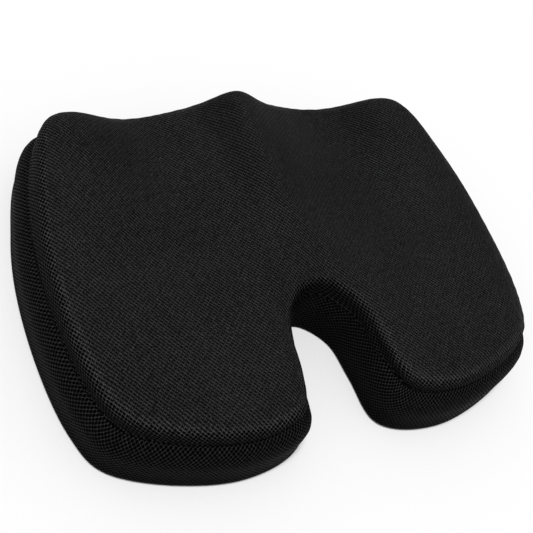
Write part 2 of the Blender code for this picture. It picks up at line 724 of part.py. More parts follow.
def main():
    for old in list(bpy.data.objects):
        bpy.data.objects.remove(old, do_unlink=True)
    finishes = {
        "cover_mesh": material("cover_mesh", (0.020, 0.020, 0.021), 0.85),
        "base_fabric": material("base_fabric", (0.012, 0.012, 0.013), 0.8),
        "seam_tape": material("seam_tape", (0.010, 0.010, 0.011), 0.9),
        "liner": material("liner", (0.55, 0.55, 0.53), 0.9),
        "foam": material("foam", (0.80, 0.76, 0.62), 0.95),
        "zip_tape": material("zip_tape", (0.010, 0.010, 0.011), 0.85),
        "zip_coil": material("zip_coil", (0.015, 0.015, 0.016), 0.4),
        "zip_metal": material("zip_metal", (0.020, 0.020, 0.022), 0.35, 1.0),
    }
    skin = Skin(InsetPlan())
    make_cover(skin, finishes)
    make_seam_tapes(skin, finishes)
    make_liner(skin, finishes)
    make_foam(skin, finishes)
    make_zip_chain(finishes)
    make_pull(make_slider(finishes), finishes)
    for solid in bpy.data.objects:
        if solid.type == "MESH":
            solid.data.shade_smooth()
            solid.data.set_sharp_from_angle(angle=math.radians(40))


main()
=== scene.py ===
"""Looks of the contoured seat cushion: sewn mesh cover, zip, rubber-dotted base, liner and foam.

Every cloth layer is cut from one fine skin, whose plan, wall and contours are formulas in metres. The skin
is puffed by one cloth simulation that is held at its seams, and each piece then rides on its CAD body.
"""

import json
import logging
import math
from dataclasses import dataclass
from enum import Enum

import bmesh
import bpy
import numpy as np
from mathutils import Matrix, Vector
from mathutils.geometry import delaunay_2d_cdt


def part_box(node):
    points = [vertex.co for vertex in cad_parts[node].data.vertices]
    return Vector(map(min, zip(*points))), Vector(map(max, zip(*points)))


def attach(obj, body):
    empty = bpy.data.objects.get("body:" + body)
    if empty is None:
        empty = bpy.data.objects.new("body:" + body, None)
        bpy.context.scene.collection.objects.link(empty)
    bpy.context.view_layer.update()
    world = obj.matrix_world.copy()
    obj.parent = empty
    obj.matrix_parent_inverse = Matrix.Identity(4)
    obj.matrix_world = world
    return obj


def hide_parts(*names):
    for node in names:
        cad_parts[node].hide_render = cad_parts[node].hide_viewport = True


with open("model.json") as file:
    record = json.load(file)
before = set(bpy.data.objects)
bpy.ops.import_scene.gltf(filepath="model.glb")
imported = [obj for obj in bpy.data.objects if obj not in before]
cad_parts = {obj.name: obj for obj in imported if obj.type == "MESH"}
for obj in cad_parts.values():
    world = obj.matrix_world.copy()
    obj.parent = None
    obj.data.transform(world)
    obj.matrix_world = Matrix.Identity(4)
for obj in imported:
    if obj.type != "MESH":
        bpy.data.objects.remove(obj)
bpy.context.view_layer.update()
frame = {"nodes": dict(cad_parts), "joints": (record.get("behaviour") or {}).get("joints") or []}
LOG = logging.getLogger("seat_cushion")
WINDOW_HALF = 0.100
WINDOW_HEIGHTS = (0.0125, 0.0235)
BAND_PITCH = 0.0038
# Cells of the knit to a metre, across and along, as the cloth coordinates run.
TOP_KNIT = ((301.0, 237.0, 0.0), (224.0, -215.0, 0.0))
BAND_KNIT = ((1 / BAND_PITCH, 232.0, 0.0), (1 / BAND_PITCH, -232.0, 0.0))
FILL_TOLERANCE = 1e-7

Colour = tuple[float, float, float]
Pair = tuple[float, float]
Faces = list[list[int]]
Part = tuple[np.ndarray, Faces]


def smooth_step(value: np.ndarray, start: float, end: float) -> np.ndarray:
    """Ease from 0 to 1.

    Args:
        value: Numbers to place between start and end.
        start: Where the result is 0.
        end: Where the result is 1.

    Returns:
        0 before start, 1 after end, eased between them.
    """
    share = np.clip((value - start) / (end - start), 0, 1)
    return share * share * (3 - 2 * share)


# ---------------------------------------------------------------- loops and rings
def inside_loop(spots: np.ndarray, loop: np.ndarray) -> np.ndarray:
    """Find which places lie inside a closed loop.

    Args:
        spots: Plan places.
        loop: The loop's corners.

    Returns:
        True for each place inside.
    """
    side = np.roll(loop, -1, axis=0) - loop
    away = spots[:, None] - loop[None]
    crossing = (away[:, :, 1] > 0) != (away[:, :, 1] > side[:, 1])
    slope = side[:, 0] / np.where(side[:, 1] == 0, 1, side[:, 1])
    return (crossing & (away[:, :, 0] < away[:, :, 1] * slope)).sum(axis=1) % 2 == 1


def distance_to_loop(spots: np.ndarray, loop: np.ndarray) -> np.ndarray:
    """Measure how far places lie from a closed loop.

    Args:
        spots: Plan places.
        loop: The loop's corners.

    Returns:
        Each place's distance to the nearest side.
    """
    side = np.roll(loop, -1, axis=0) - loop
    away = spots[:, None] - loop[None]
    share = np.clip((away * side).sum(2) / (side * side).sum(1), 0, 1)
    return np.linalg.norm(away - share[:, :, None] * side, axis=2).min(axis=1)


def fill_loop(loop: np.ndarray, first: int, within: np.ndarray | None = None) -> Faces:
    """Fill a closed loop with triangles.

    Args:
        loop: Plan places of its corners.
        first: Number of its first corner among the piece's points.
        within: Further places inside it, numbered on from the corners.

    Returns:
        The triangles, facing up.
    """
    spots = loop if within is None else np.vstack([loop, within])
    edges = [(i, (i + 1) % len(loop)) for i in range(len(loop))]
    found = delaunay_2d_cdt([Vector(spot) for spot in spots], edges, [], 1, FILL_TOLERANCE)
    origin = [indices[0] for indices in found[3]]
    return [[origin[corner] + first for corner in face] for face in found[2]]


def join_rings(low: int, high: int, count: int) -> Faces:
    """Join two rings of points with quads.

    Args:
        low: Number of the first ring's first point.
        high: Number of the second ring's first point.
        count: Points in each ring.

    Returns:
        The quads, which face out of clockwise rings where high is above low.
    """
    return [[low + i, high + i, high + (i + 1) % count, low + (i + 1) % count] for i in range(count)]


def copies(part: Part, places: list[Matrix]) -> Part:
    """Repeat a small part.

    Args:
        part: Its points and faces.
        places: Where each copy goes.

    Returns:
        Points and faces of all the copies together.
    """
    points, faces = part
    placed = [place @ Vector(point) for place in places for point in points]
    numbered = [[corner + n * len(points) for corner in face] for n in range(len(places)) for face in faces]
    return np.array(placed), numbered


# ---------------------------------------------------------------- shader wiring
class Wiring:
    """Short ways to place and join the nodes of one node tree."""

    def __init__(self, tree: bpy.types.NodeTree) -> None:
        """Work on this tree."""
        self.tree = tree

    def node(self, kind: str, **values: object) -> bpy.types.Node:
        """Place a node.

        Args:
            kind: Its type, without the leading ShaderNode.
            values: Properties of the node.

        Returns:
            The new node.
        """
        made = self.tree.nodes.new("ShaderNode" + kind)
        for name, value in values.items():
            setattr(made, name, value)
        return made

    def feed(self, socket: bpy.types.NodeSocket, value: object) -> None:
        """Join a socket to an input, or set the input to a constant.

        Args:
            socket: The input.
            value: A socket or a constant.
        """
        if isinstance(value, bpy.types.NodeSocket):
            self.tree.links.new(value, socket)
        else:
            socket.default_value = value

    def math(self, operation: str, *values: object, clamp: bool = False) -> bpy.types.NodeSocket:
        """Place a Math node.

        Args:
            operation: Blender's name of the operation.
            values: Sockets or numbers for its inputs, in order.
            clamp: Whether the result is kept from 0 to 1.

        Returns:
            The result.
        """
        made = self.node("Math", operation=operation, use_clamp=clamp)
        for socket, value in zip(made.inputs, values):
            self.feed(socket, value)
        return made.outputs[0]

    def vector(self, operation: str, *values: object) -> bpy.types.NodeSocket:
        """Place a Vector Math node.

        Args:
            operation: Blender's name of the operation.
            values: Sockets or triples for its inputs, in order.

        Returns:
            The result, which is a number for LENGTH and DOT_PRODUCT.
        """
        made = self.node("VectorMath", operation=operation)
        for socket, value in zip(made.inputs, values):
            self.feed(socket, value)
        return made.outputs["Value" if operation in ("LENGTH", "DOT_PRODUCT") else "Vector"]

    def ease(self, value: object, start: object, end: object, low: float = 0.0,
             high: float = 1.0) -> bpy.types.NodeSocket:
        """Map a number smoothly.

        Args:
            value: The number to map.
            start: The number that gives low.
            end: The number that gives high.
            low: The result at start.
            high: The result at end.

        Returns:
            The mapped number.
        """
        made = self.node("MapRange", interpolation_type="SMOOTHSTEP")
        for name, given in (("Value", value), ("From Min", start), ("From Max", end),
                            ("To Min", low), ("To Max", high)):
            self.feed(made.inputs[name], given)
        return made.outputs["Result"]

    def mix(self, share: object, first: object, second: object) -> bpy.types.NodeSocket:
        """Blend two colours.

        Args:
            share: How much of the second colour shows.
            first: Colour or socket.
            second: Colour or socket.

        Returns:
            The blended colour.
        """
        made = self.node("Mix", data_type="RGBA")
        self.feed(made.inputs[0], share)
        for socket, value in ((made.inputs[6], first), (made.inputs[7], second)):
            self.feed(socket, (*value, 1.0) if isinstance(value, tuple) and len(value) == 3 else value)
        return made.outputs[2]

    def noise(self, place: object, scale: float, detail: float = 2.0) -> bpy.types.NodeSocket:
        """Place a noise texture.

        Args:
            place: Coordinates in metres.
            scale: Features to a metre.
            detail: Octaves.

        Returns:
            Its value, about 0.5 on average.
        """
        made = self.node("TexNoise")
        self.feed(made.inputs["Vector"], place)
        made.inputs["Scale"].default_value = scale
        made.inputs["Detail"].default_value = detail
        return made.outputs["Fac"]

    def split(self, vector: bpy.types.NodeSocket) -> list[bpy.types.NodeSocket]:
        """Take a vector apart.

        Args:
            vector: The vector.

        Returns:
            Its X, Y and Z.
        """
        made = self.node("SeparateXYZ")
        self.feed(made.inputs[0], vector)
        return list(made.outputs)

    def join(self, *values: object) -> bpy.types.NodeSocket:
        """Put a vector together.

        Args:
            values: Sockets or numbers for its X, Y and Z.

        Returns:
            The vector.
        """
        made = self.node("CombineXYZ")
        for socket, value in zip(made.inputs, values):
            self.feed(socket, value)
        return made.outputs[0]

    def group(self, effect: bpy.types.NodeTree, **values: object) -> bpy.types.Node:
        """Place a shared effect.

        Args:
            effect: The node group.
            values: Inputs by name, with _ for a space.

        Returns:
            The group node.
        """
        made = self.node("Group")
        made.node_tree = effect
        for name, value in values.items():
            self.feed(made.inputs[name.replace("_", " ")], value)
        return made


class SharedEffects:
    """Node groups that more than one finish uses, each built once."""

    def __init__(self) -> None:
        """Build every effect."""
        self.open_knit = self._open_knit()
        self.woven = self._woven()
        self.grain = self._grain()
        self.edge_wear = self._edge_wear()

    @staticmethod
    def _start(name: str, inputs: dict[str, tuple[str, object]],
               outputs: dict[str, str]) -> tuple[Wiring, bpy.types.Node, bpy.types.Node]:
        """Make a group with named sockets.

        Args:
            name: The group's name.
            inputs: Socket kind and default value by name.
            outputs: Socket kind by name.

        Returns:
            Its wiring, its input node and its output node.
        """
        tree = bpy.data.node_groups.new(name, "ShaderNodeTree")
        for label, (kind, value) in inputs.items():
            socket = tree.interface.new_socket(label, in_out="INPUT", socket_type="NodeSocket" + kind)
            if value is not None:
                socket.default_value = value
        for label, kind in outputs.items():
            tree.interface.new_socket(label, in_out="OUTPUT", socket_type="NodeSocket" + kind)
        wiring = Wiring(tree)
        return wiring, tree.nodes.new("NodeGroupInput"), tree.nodes.new("NodeGroupOutput")

    def _open_knit(self) -> bpy.types.NodeTree:
        """Staggered oval openings between knitted ribs, as a mask and a height.

        Returns:
            The node group.
        """
        made, given, out = self._start(
            "open_knit",
            {"Place": ("Vector", None), "Across": ("Vector", None), "Along": ("Vector", None),
             "Opening": ("Float", 0.3), "Softness": ("Float", 0.1)},
            {"Hole": "Float", "Rib": "Float", "Height": "Float"})
        place = given.outputs["Place"]
        # The rows wander by about an eighth of a cell, so that no line of openings runs dead straight.
        sway = made.noise(place, 140.0, 1.0)
        across = made.math("ADD", made.vector("DOT_PRODUCT", place, given.outputs["Across"]),
                           made.math("MULTIPLY_ADD", sway, 0.24, -0.12))
        along = made.math("ADD", made.vector("DOT_PRODUCT", place, given.outputs["Along"]),
                          made.math("MULTIPLY_ADD", sway, -0.20, 0.10))
        # Every cell has one opening at its middle, whose edge is blurred by the softness.
        cells = made.join(across, along, 0.0)
        inside = made.vector("SUBTRACT", made.vector("FRACTION", cells), (0.5, 0.5, 0.0))
        reach = made.vector("LENGTH", inside)
        start = made.math("SUBTRACT", given.outputs["Opening"], given.outputs["Softness"])
        end = made.math("ADD", given.outputs["Opening"], given.outputs["Softness"])
        hole = made.ease(reach, end, start)
        # The yarn swells once to a cell across and twice along, and no two loops catch the same light.
        rows = made.math("COSINE", made.math("MULTIPLY", across, 2 * math.pi))
        loops = made.math("COSINE", made.math("MULTIPLY", along, 4 * math.pi))
        rib = made.math("MULTIPLY_ADD", rows, 0.30, made.math("MULTIPLY_ADD", loops, 0.24, 0.5))
        loop = made.node("TexWhiteNoise", noise_dimensions="2D")
        halves = made.vector("MULTIPLY", cells, (1.0, 2.0, 0.0))
        made.feed(loop.inputs["Vector"], made.vector("FLOOR", halves))
        uneven = made.math("MULTIPLY_ADD", loop.outputs["Value"], 0.45, 0.75)
        rib = made.math("MULTIPLY", rib, uneven, clamp=True)
        solid = made.math("SUBTRACT", 1.0, hole)
        made.feed(out.inputs["Hole"], hole)
        made.feed(out.inputs["Rib"], made.math("MULTIPLY", rib, solid))
        made.feed(out.inputs["Height"], made.math("MULTIPLY_ADD", rib, 0.35,
                                                  made.math("MULTIPLY", solid, 0.65)))
        return made.tree

    def _woven(self) -> bpy.types.NodeTree:
        """Over and under of a woven cloth, as a height and a shade.

        Returns:
            The node group.
        """
        made, given, out = self._start(
            "woven", {"Place": ("Vector", None), "Pitch": ("Float", 0.0008), "Slant": ("Float", 0.0)},
            {"Height": "Float", "Shade": "Float"})
        turn = made.vector("SCALE", given.outputs["Place"])
        made.feed(turn.node.inputs["Scale"], made.math("DIVIDE", math.pi, given.outputs["Pitch"]))
        across, along, _ = made.split(turn)
        across = made.math("MULTIPLY_ADD", along, given.outputs["Slant"], across)
        # Each thread is the crest of a wave, and a slower wave chooses which thread lies on top.
        warp = made.math("ABSOLUTE", made.math("SINE", across))
        weft = made.math("ABSOLUTE", made.math("SINE", along))
        half = (made.math("MULTIPLY", across, 0.5), made.math("MULTIPLY", along, 0.5))
        over = made.math("MULTIPLY", made.math("SINE", half[0]), made.math("SINE", half[1]))
        choice = made.ease(over, -0.15, 0.15)
        height = made.math("ADD", made.math("MULTIPLY", warp, choice),
                           made.math("MULTIPLY", weft, made.math("SUBTRACT", 1.0, choice)))
        made.feed(out.inputs["Height"], height)
        made.feed(out.inputs["Shade"], made.ease(height, 0.1, 0.9))
        return made.tree

    def _grain(self) -> bpy.types.NodeTree:
        """Fine irregular grain over a slow cloud, both from 0 to 1.

        Returns:
            The node group.
        """
        made, given, out = self._start(
            "grain", {"Place": ("Vector", None), "Size": ("Float", 0.001)},
            {"Fine": "Float", "Cloud": "Float"})
        scaled = made.vector("SCALE", given.outputs["Place"])
        made.feed(scaled.node.inputs["Scale"], made.math("DIVIDE", 1.0, given.outputs["Size"]))
        made.feed(out.inputs["Fine"], made.ease(made.noise(scaled, 1.0, 3.0), 0.3, 0.7))
        made.feed(out.inputs["Cloud"], made.ease(made.noise(given.outputs["Place"], 14.0, 2.0), 0.35, 0.65))
        return made.tree

    def _edge_wear(self) -> bpy.types.NodeTree:
        """Mask of rubbed edges, broken up by noise.

        Returns:
            The node group.
        """
        made, given, out = self._start(
            "edge_wear", {"Place": ("Vector", None), "Amount": ("Float", 0.5)}, {"Worn": "Float"})
        # Pointiness is 0.5 where the surface is flat, and more on an outer edge.
        edge = made.ease(made.node("NewGeometry").outputs["Pointiness"], 0.50, 0.58)
        patches = made.ease(made.noise(given.outputs["Place"], 900.0, 3.0), 0.35, 0.7)
        worn = made.math("MULTIPLY", edge, made.math("MULTIPLY", patches, given.outputs["Amount"]))
        made.feed(out.inputs["Worn"], worn)
        return made.tree


# ---------------------------------------------------------------- finishes
class Metal(Enum):
    """Whether a hard finish is bare metal or an insulator."""

    BARE = 1.0
    NONE = 0.0


def start_material(name: str) -> tuple[bpy.types.Material, Wiring, bpy.types.Node]:
    """Make a material.

    Args:
        name: The material's name.

    Returns:
        The material, its wiring and its Principled shader.
    """
    made = bpy.data.materials.new(name)
    made.use_nodes = True
    return made, Wiring(made.node_tree), made.node_tree.nodes["Principled BSDF"]


def raise_surface(wiring: Wiring, shader: bpy.types.Node, height: bpy.types.NodeSocket,
                  strength: float, distance: float) -> None:
    """Feed a height to a shader's normal through a Bump node.

    Args:
        wiring: The material's wiring.
        shader: Its Principled shader.
        height: The height, from 0 to 1.
        strength: How much of the relief shows.
        distance: What a height of 1 measures, in metres.
    """
    bump = wiring.node("Bump")
    bump.inputs["Strength"].default_value = strength
    bump.inputs["Distance"].default_value = distance
    wiring.feed(bump.inputs["Height"], height)
    wiring.feed(shader.inputs["Normal"], bump.outputs[0])


def set_sheen(shader: bpy.types.Node, weight: float, roughness: float, tint: Colour) -> None:
    """Set the soft sheen of a cloth.

    Args:
        shader: The Principled shader.
        weight: Strength of the sheen.
        roughness: Its spread.
        tint: Its colour.
    """
    shader.inputs["Sheen Weight"].default_value = weight
    shader.inputs["Sheen Roughness"].default_value = roughness
    shader.inputs["Sheen Tint"].default_value = (*tint, 1)


@dataclass(frozen=True)
class SpacerMesh:
    """Black knitted spacer mesh whose openings stretch wider over the rolled edge and the wall, with painted
    highlight and painted shade on its yarn.
    """

    name: str
    across: tuple[float, float, float]
    along: tuple[float, float, float]
    # The yarn runs from its shaded colour, which is painted shade, through its plain colour to its lit
    # colour, which is painted highlight.
    painted_shade_yarn: Colour = (0.0012, 0.0012, 0.0013)
    yarn: Colour = (0.0056, 0.0056, 0.0058)
    lit_yarn: Colour = (0.0700, 0.0700, 0.0710)
    # The openings' colour is painted near black, as the shade inside them.
    depth: Colour = (0.0002, 0.0002, 0.0002)
    shut_opening: float = 0.17
    open_opening: float = 0.38
    softness: float = 0.10
    gloss: float = 0.02
    relief: float = 0.0009

    def build(self, effects: SharedEffects) -> bpy.types.Material:
        """Make the material.

        Args:
            effects: The shared node groups.

        Returns:
            The finished material.
        """
        made, wiring, shader = start_material(self.name)
        cloth = wiring.node("UVMap", uv_map="cloth").outputs[0]
        place = wiring.node("TexCoord").outputs["Object"]
        stretch = wiring.node("Attribute", attribute_name="stretch").outputs["Fac"]
        # The tone attribute is painted light: how much painted highlight the yarn takes. It is low where
        # painted shade falls.
        tone = wiring.node("Attribute", attribute_name="tone").outputs["Fac"]
        opening = wiring.ease(stretch, 0.0, 0.5, self.shut_opening, self.open_opening)
        knit = wiring.group(effects.open_knit, Place=cloth, Across=self.across, Along=self.along,
                            Opening=opening, Softness=self.softness)
        grain = wiring.group(effects.grain, Place=place, Size=0.0006)
        # Bright ribs are painted glints: there the yarn takes the lit colour as a painted highlight, scaled
        # by the tone.
        glint = wiring.math("MULTIPLY", knit.outputs["Rib"], grain.outputs["Fine"])
        lit = wiring.math("MULTIPLY", wiring.ease(glint, 0.12, 0.70), tone)
        yarn = wiring.mix(lit, wiring.mix(tone, self.painted_shade_yarn, self.yarn), self.lit_yarn)
        # This colour holds the yarn's painted highlight and painted shade; a faint random cloud lifts it a
        # little towards the lit colour.
        worn = wiring.mix(wiring.math("MULTIPLY", grain.outputs["Cloud"], 0.03), yarn, self.lit_yarn)
        # The openings are painted near black, as the shade inside them.
        wiring.feed(shader.inputs["Base Color"], wiring.mix(knit.outputs["Hole"], worn, self.depth))
        wiring.feed(shader.inputs["Roughness"], wiring.math("MULTIPLY_ADD", knit.outputs["Hole"], 0.30,
                                                            wiring.math("MULTIPLY_ADD", glint, -0.10, 0.60)))
        shader.inputs["Specular IOR Level"].default_value = self.gloss
        raise_surface(wiring, shader, knit.outputs["Height"], 0.75, self.relief)
        return made


@dataclass(frozen=True)
class WovenCloth:
    """A woven or knitted narrow cloth, such as tape, binding, base cloth or liner."""

    name: str
    thread: Colour
    lit_thread: Colour
    pitch: float
    slant: float = 0.0
    sheen: float = 0.08
    roughness: float = 0.85
    relief: float = 0.00012

    def build(self, effects: SharedEffects) -> bpy.types.Material:
        """Make the material.

        Args:
            effects: The shared node groups.

        Returns:
            The finished material.
        """
        made, wiring, shader = start_material(self.name)
        place = wiring.node("TexCoord").outputs["Object"]
        x, y, z = wiring.split(place)
        flat = wiring.join(x, wiring.math("ADD", y, z), 0.0)
        woven = wiring.group(effects.woven, Place=flat, Pitch=self.pitch, Slant=self.slant)
        grain = wiring.group(effects.grain, Place=place, Size=self.pitch)
        shade = wiring.math("MULTIPLY", woven.outputs["Shade"], grain.outputs["Fine"])
        lit = wiring.math("ADD", shade, wiring.math("MULTIPLY", grain.outputs["Cloud"], 0.15), clamp=True)
        wiring.feed(shader.inputs["Base Color"], wiring.mix(lit, self.thread, self.lit_thread))
        wiring.feed(shader.inputs["Roughness"],
                    wiring.math("MULTIPLY_ADD", shade, -0.12, self.roughness))
        set_sheen(shader, self.sheen, 0.5, self.lit_thread)
        raise_surface(wiring, shader, woven.outputs["Height"], 0.7, self.relief)
        return made


@dataclass(frozen=True)
class HardFinish:
    """A moulded or enamelled hard finish with fine grain and rubbed edges."""

    name: str
    body: Colour
    worn: Colour
    roughness: float
    grain_size: float
    metal: Metal = Metal.NONE
    wear: float = 0.6
    relief: float = 0.00004

    def build(self, effects: SharedEffects) -> bpy.types.Material:
        """Make the material.

        Args:
            effects: The shared node groups.

        Returns:
            The finished material.
        """
        made, wiring, shader = start_material(self.name)
        place = wiring.node("TexCoord").outputs["Object"]
        grain = wiring.group(effects.grain, Place=place, Size=self.grain_size)
        worn = wiring.group(effects.edge_wear, Place=place, Amount=self.wear).outputs["Worn"]
        dusty = wiring.math("MULTIPLY", grain.outputs["Cloud"], 0.12)
        tone = wiring.mix(dusty, self.body, self.worn)
        wiring.feed(shader.inputs["Base Color"], wiring.mix(worn, tone, self.worn))
        wiring.feed(shader.inputs["Roughness"],
                    wiring.math("MULTIPLY_ADD", grain.outputs["Fine"], 0.14, self.roughness))
        shader.inputs["Metallic"].default_value = self.metal.value
        raise_surface(wiring, shader, grain.outputs["Fine"], 0.4, self.relief)
        return made


@dataclass(frozen=True)
class FoamSkin:
    """Cream moulded foam with fine open pores."""

    name: str = "foam_skin"
    body: Colour = (0.74, 0.69, 0.55)
    pore: Colour = (0.42, 0.37, 0.26)
    pore_size: float = 0.0011

    def build(self, effects: SharedEffects) -> bpy.types.Material:
        """Make the material.

        Args:
            effects: The shared node groups.

        Returns:
            The finished material.
        """
        made, wiring, shader = start_material(self.name)
        place = wiring.node("TexCoord").outputs["Object"]
        grain = wiring.group(effects.grain, Place=place, Size=self.pore_size)
        cells = wiring.node("TexVoronoi")
        wiring.feed(cells.inputs["Vector"], place)
        cells.inputs["Scale"].default_value = 1 / (2 * self.pore_size)
        open_pore = wiring.ease(cells.outputs["Distance"], 0.32, 0.12)
        pore = wiring.math("MULTIPLY", open_pore, grain.outputs["Fine"])
        wiring.feed(shader.inputs["Base Color"], wiring.mix(pore, self.body, self.pore))
        wiring.feed(shader.inputs["Roughness"],
                    wiring.math("MULTIPLY_ADD", grain.outputs["Cloud"], 0.08, 0.85))
        raise_surface(wiring, shader, wiring.math("SUBTRACT", 1.0, pore), 0.6, 0.0004)
        return made


@dataclass(frozen=True)
class StudioPaper:
    """Plain pale paper under the cushion."""

    name: str = "studio_paper"
    body: Colour = (0.86, 0.86, 0.86)
    shade: Colour = (0.83, 0.83, 0.83)

    def build(self, effects: SharedEffects) -> bpy.types.Material:
        """Make the material.

        Args:
            effects: The shared node groups.

        Returns:
            The finished material.
        """
        made, wiring, shader = start_material(self.name)
        place = wiring.node("TexCoord").outputs["Object"]
        grain = wiring.group(effects.grain, Place=place, Size=0.002)
        wiring.feed(shader.inputs["Base Color"],
                    wiring.mix(wiring.math("MULTIPLY", grain.outputs["Fine"], 0.3), self.body, self.shade))
        shader.inputs["Roughness"].default_value = 0.9
        shader.inputs["Specular IOR Level"].default_value = 0.1
        return made


class Finishes:
    """Every finish of the cushion, built once."""

    def __init__(self) -> None:
        """Build the shared effects and the materials."""
        effects = SharedEffects()
        black, lit = (0.009, 0.009, 0.0095), (0.024, 0.024, 0.025)
        self.top_mesh = SpacerMesh("spacer_mesh_top", *TOP_KNIT).build(effects)
        self.band_mesh = SpacerMesh("spacer_mesh_band", *BAND_KNIT).build(effects)
        self.base = WovenCloth("base_cloth", black, lit, 0.0013, relief=0.0002).build(effects)
        self.tape = WovenCloth("binding_tape", black, lit, 0.0009, slant=0.5).build(effects)
        self.zip_tape = WovenCloth("zip_tape", black, lit, 0.0006, slant=1.0).build(effects)
        self.thread = WovenCloth("sewing_thread", (0.016, 0.016, 0.017), (0.045, 0.045, 0.047), 0.0003,
                                 slant=1.0, sheen=0.2, roughness=0.6, relief=0.00006).build(effects)
        self.liner = WovenCloth("jersey_liner", (0.50, 0.50, 0.48), (0.66, 0.66, 0.63), 0.0009,
                                sheen=0.1, roughness=0.9).build(effects)
        self.rubber = HardFinish("grip_rubber", (0.013, 0.013, 0.013), (0.05, 0.05, 0.05), 0.55, 0.0005,
                                 wear=0.3).build(effects)
        self.nylon = HardFinish("nylon_coil", (0.012, 0.012, 0.012), (0.06, 0.06, 0.06), 0.32, 0.0003,
                                wear=0.4).build(effects)
        self.metal = HardFinish("black_enamel", (0.030, 0.030, 0.032), (0.20, 0.195, 0.19), 0.24, 0.0003,
                                metal=Metal.BARE, wear=0.35, relief=0.00001).build(effects)
        self.foam = FoamSkin().build(effects)
        self.paper = StudioPaper().build(effects)


# ---------------------------------------------------------------- the skin's formulas
@dataclass
class Plan:
    """The cover's outline from above, clockwise from the middle of the front, and its inward offsets."""

    width: float
    length: float
    front_radius: float
    window_half: float
    front_arc_x: float = 0.124
    side_shape: tuple[Pair, ...] = (
        (0.833, 0.873), (0.966, 0.406), (1.0, -0.094), (0.951, -0.622), (0.872, -0.814), (0.436, -1.0))
    cutout_depth: float = 0.1232
    cutout_shape: tuple[Pair, ...] = ((0.0386, 0.0166), (0.0321, 0.063), (0.0264, 0.1004))
    spacing: float = 0.0042
    parts: int = 8
    loop_points: int = 600
    inset_step: float = 0.0003
    inset_reach: float = 0.0300
    corner_easing: float = 0.009

    def __post_init__(self) -> None:
        """Lay out the columns and step the outline inwards."""
        dense, self.window_columns = self._outline()
        closed = np.vstack([dense, dense[:1]])
        reached = np.concatenate([[0], np.cumsum(np.linalg.norm(np.diff(closed, axis=0), axis=1))])
        self.perimeter = float(reached[-1])
        gap = self.perimeter / self.loop_points
        even = np.arange(self.loop_points) * gap
        loop = np.stack([np.interp(even, reached, closed[:, axis]) for axis in (0, 1)], axis=1)
        # Each step eases the corners a little, so that the inner rings don't fold over themselves.
        easing = self.corner_easing * self.inset_step / gap**2
        rings = [loop]
        for _ in range(int(self.inset_reach / self.inset_step)):
            loop = loop + self.inward(loop) * self.inset_step
            loop = loop + easing * (np.roll(loop, 1, axis=0) - 2 * loop + np.roll(loop, -1, axis=0))
            rings.append(loop)
        self.rings = np.array(rings)
        self.along = reached[:-1][::self.parts]
        self.place = self.along / gap
        self.count = len(self.place)

    def _outline(self) -> tuple[np.ndarray, int]:
        """Trace the outline.

        Returns:
            Points with `parts` to each column, and how many columns reach from the middle of the front
            to the end of the zip window.
        """
        arc_end = math.asin(self.front_arc_x / self.front_radius)
        window_end = self.window_half / self.front_radius
        window_columns = round(self.window_half / self.spacing)
        rest_columns = max(round((arc_end - window_end) * self.front_radius / self.spacing), 1)
        pieces = [np.linspace(0, window_end, window_columns * self.parts, endpoint=False),
                  np.linspace(window_end, arc_end, rest_columns * self.parts, endpoint=False)]
        half = [np.array([self.front_point(angle) for angle in np.concatenate(pieces)])]
        side = [np.array((x * self.width / 2, y * self.length / 2)) for x, y in self.side_shape]
        rear = -self.length / 2
        cutout = [np.array((x, rear + reach)) for x, reach in (*self.cutout_shape, (0, self.cutout_depth))]
        knots = [self.front_point(arc_end)] + side + cutout
        # The lead-in mirrors the side's first knot, so that the side leaves the arc along its tangent.
        tangent = np.array([math.cos(arc_end), -math.sin(arc_end)])
        lead_in = knots[1] - 2 * np.dot(knots[1] - knots[0], tangent) * tangent
        chain = [lead_in, *knots, knots[-2] * (-1, 1)]
        for i in range(len(chain) - 3):
            columns = max(round(np.linalg.norm(chain[i + 2] - chain[i + 1]) / self.spacing), 2)
            half.append(self._span(*chain[i:i + 4], columns * self.parts))
        joined = np.vstack(half)
        return np.vstack([joined, knots[-1][None], joined[1:][::-1] * (-1, 1)]), window_columns

    def front_point(self, angle: float, depth: float = 0.0) -> np.ndarray:
        """Find a place on the front arc.

        Args:
            angle: Its angle from the middle of the front.
            depth: How far behind the arc it lies.

        Returns:
            The plan position.
        """
        radius = self.front_radius - depth
        centre = self.length / 2 - self.front_radius
        return np.array([radius * math.sin(angle), centre + radius * math.cos(angle)])

    @staticmethod
    def _span(before: np.ndarray, start: np.ndarray, end: np.ndarray, after: np.ndarray,
              steps: int) -> np.ndarray:
        """Trace one span of a centripetal Catmull-Rom curve.

        Args:
            before: The knot before the span.
            start: The knot where the span starts.
            end: The knot where it ends.
            after: The knot after it.
            steps: How many points to give, without the last.

        Returns:
            The points.
        """
        knots = [0.0]
        for first, second in ((before, start), (start, end), (end, after)):
            knots.append(knots[-1] + math.sqrt(np.linalg.norm(second - first)))
        t0, t1, t2, t3 = knots
        t = np.linspace(t1, t2, steps, endpoint=False)[:, None]
        a1 = (t1 - t) / (t1 - t0) * before + (t - t0) / (t1 - t0) * start
        a2 = (t2 - t) / (t2 - t1) * start + (t - t1) / (t2 - t1) * end
        a3 = (t3 - t) / (t3 - t2) * end + (t - t2) / (t3 - t2) * after
        b1 = (t2 - t) / (t2 - t0) * a1 + (t - t0) / (t2 - t0) * a2
        b2 = (t3 - t) / (t3 - t1) * a2 + (t - t1) / (t3 - t1) * a3
        return (t2 - t) / (t2 - t1) * b1 + (t - t1) / (t2 - t1) * b2

    @staticmethod
    def inward(loop: np.ndarray) -> np.ndarray:
        """Find which way is inwards.

        Args:
            loop: A clockwise loop.

        Returns:
            A unit vector at every corner, pointing into the loop.
        """
        side = np.roll(loop, -1, axis=0) - np.roll(loop, 1, axis=0)
        side /= np.linalg.norm(side, axis=1, keepdims=True)
        return np.stack([side[:, 1], -side[:, 0]], axis=1)

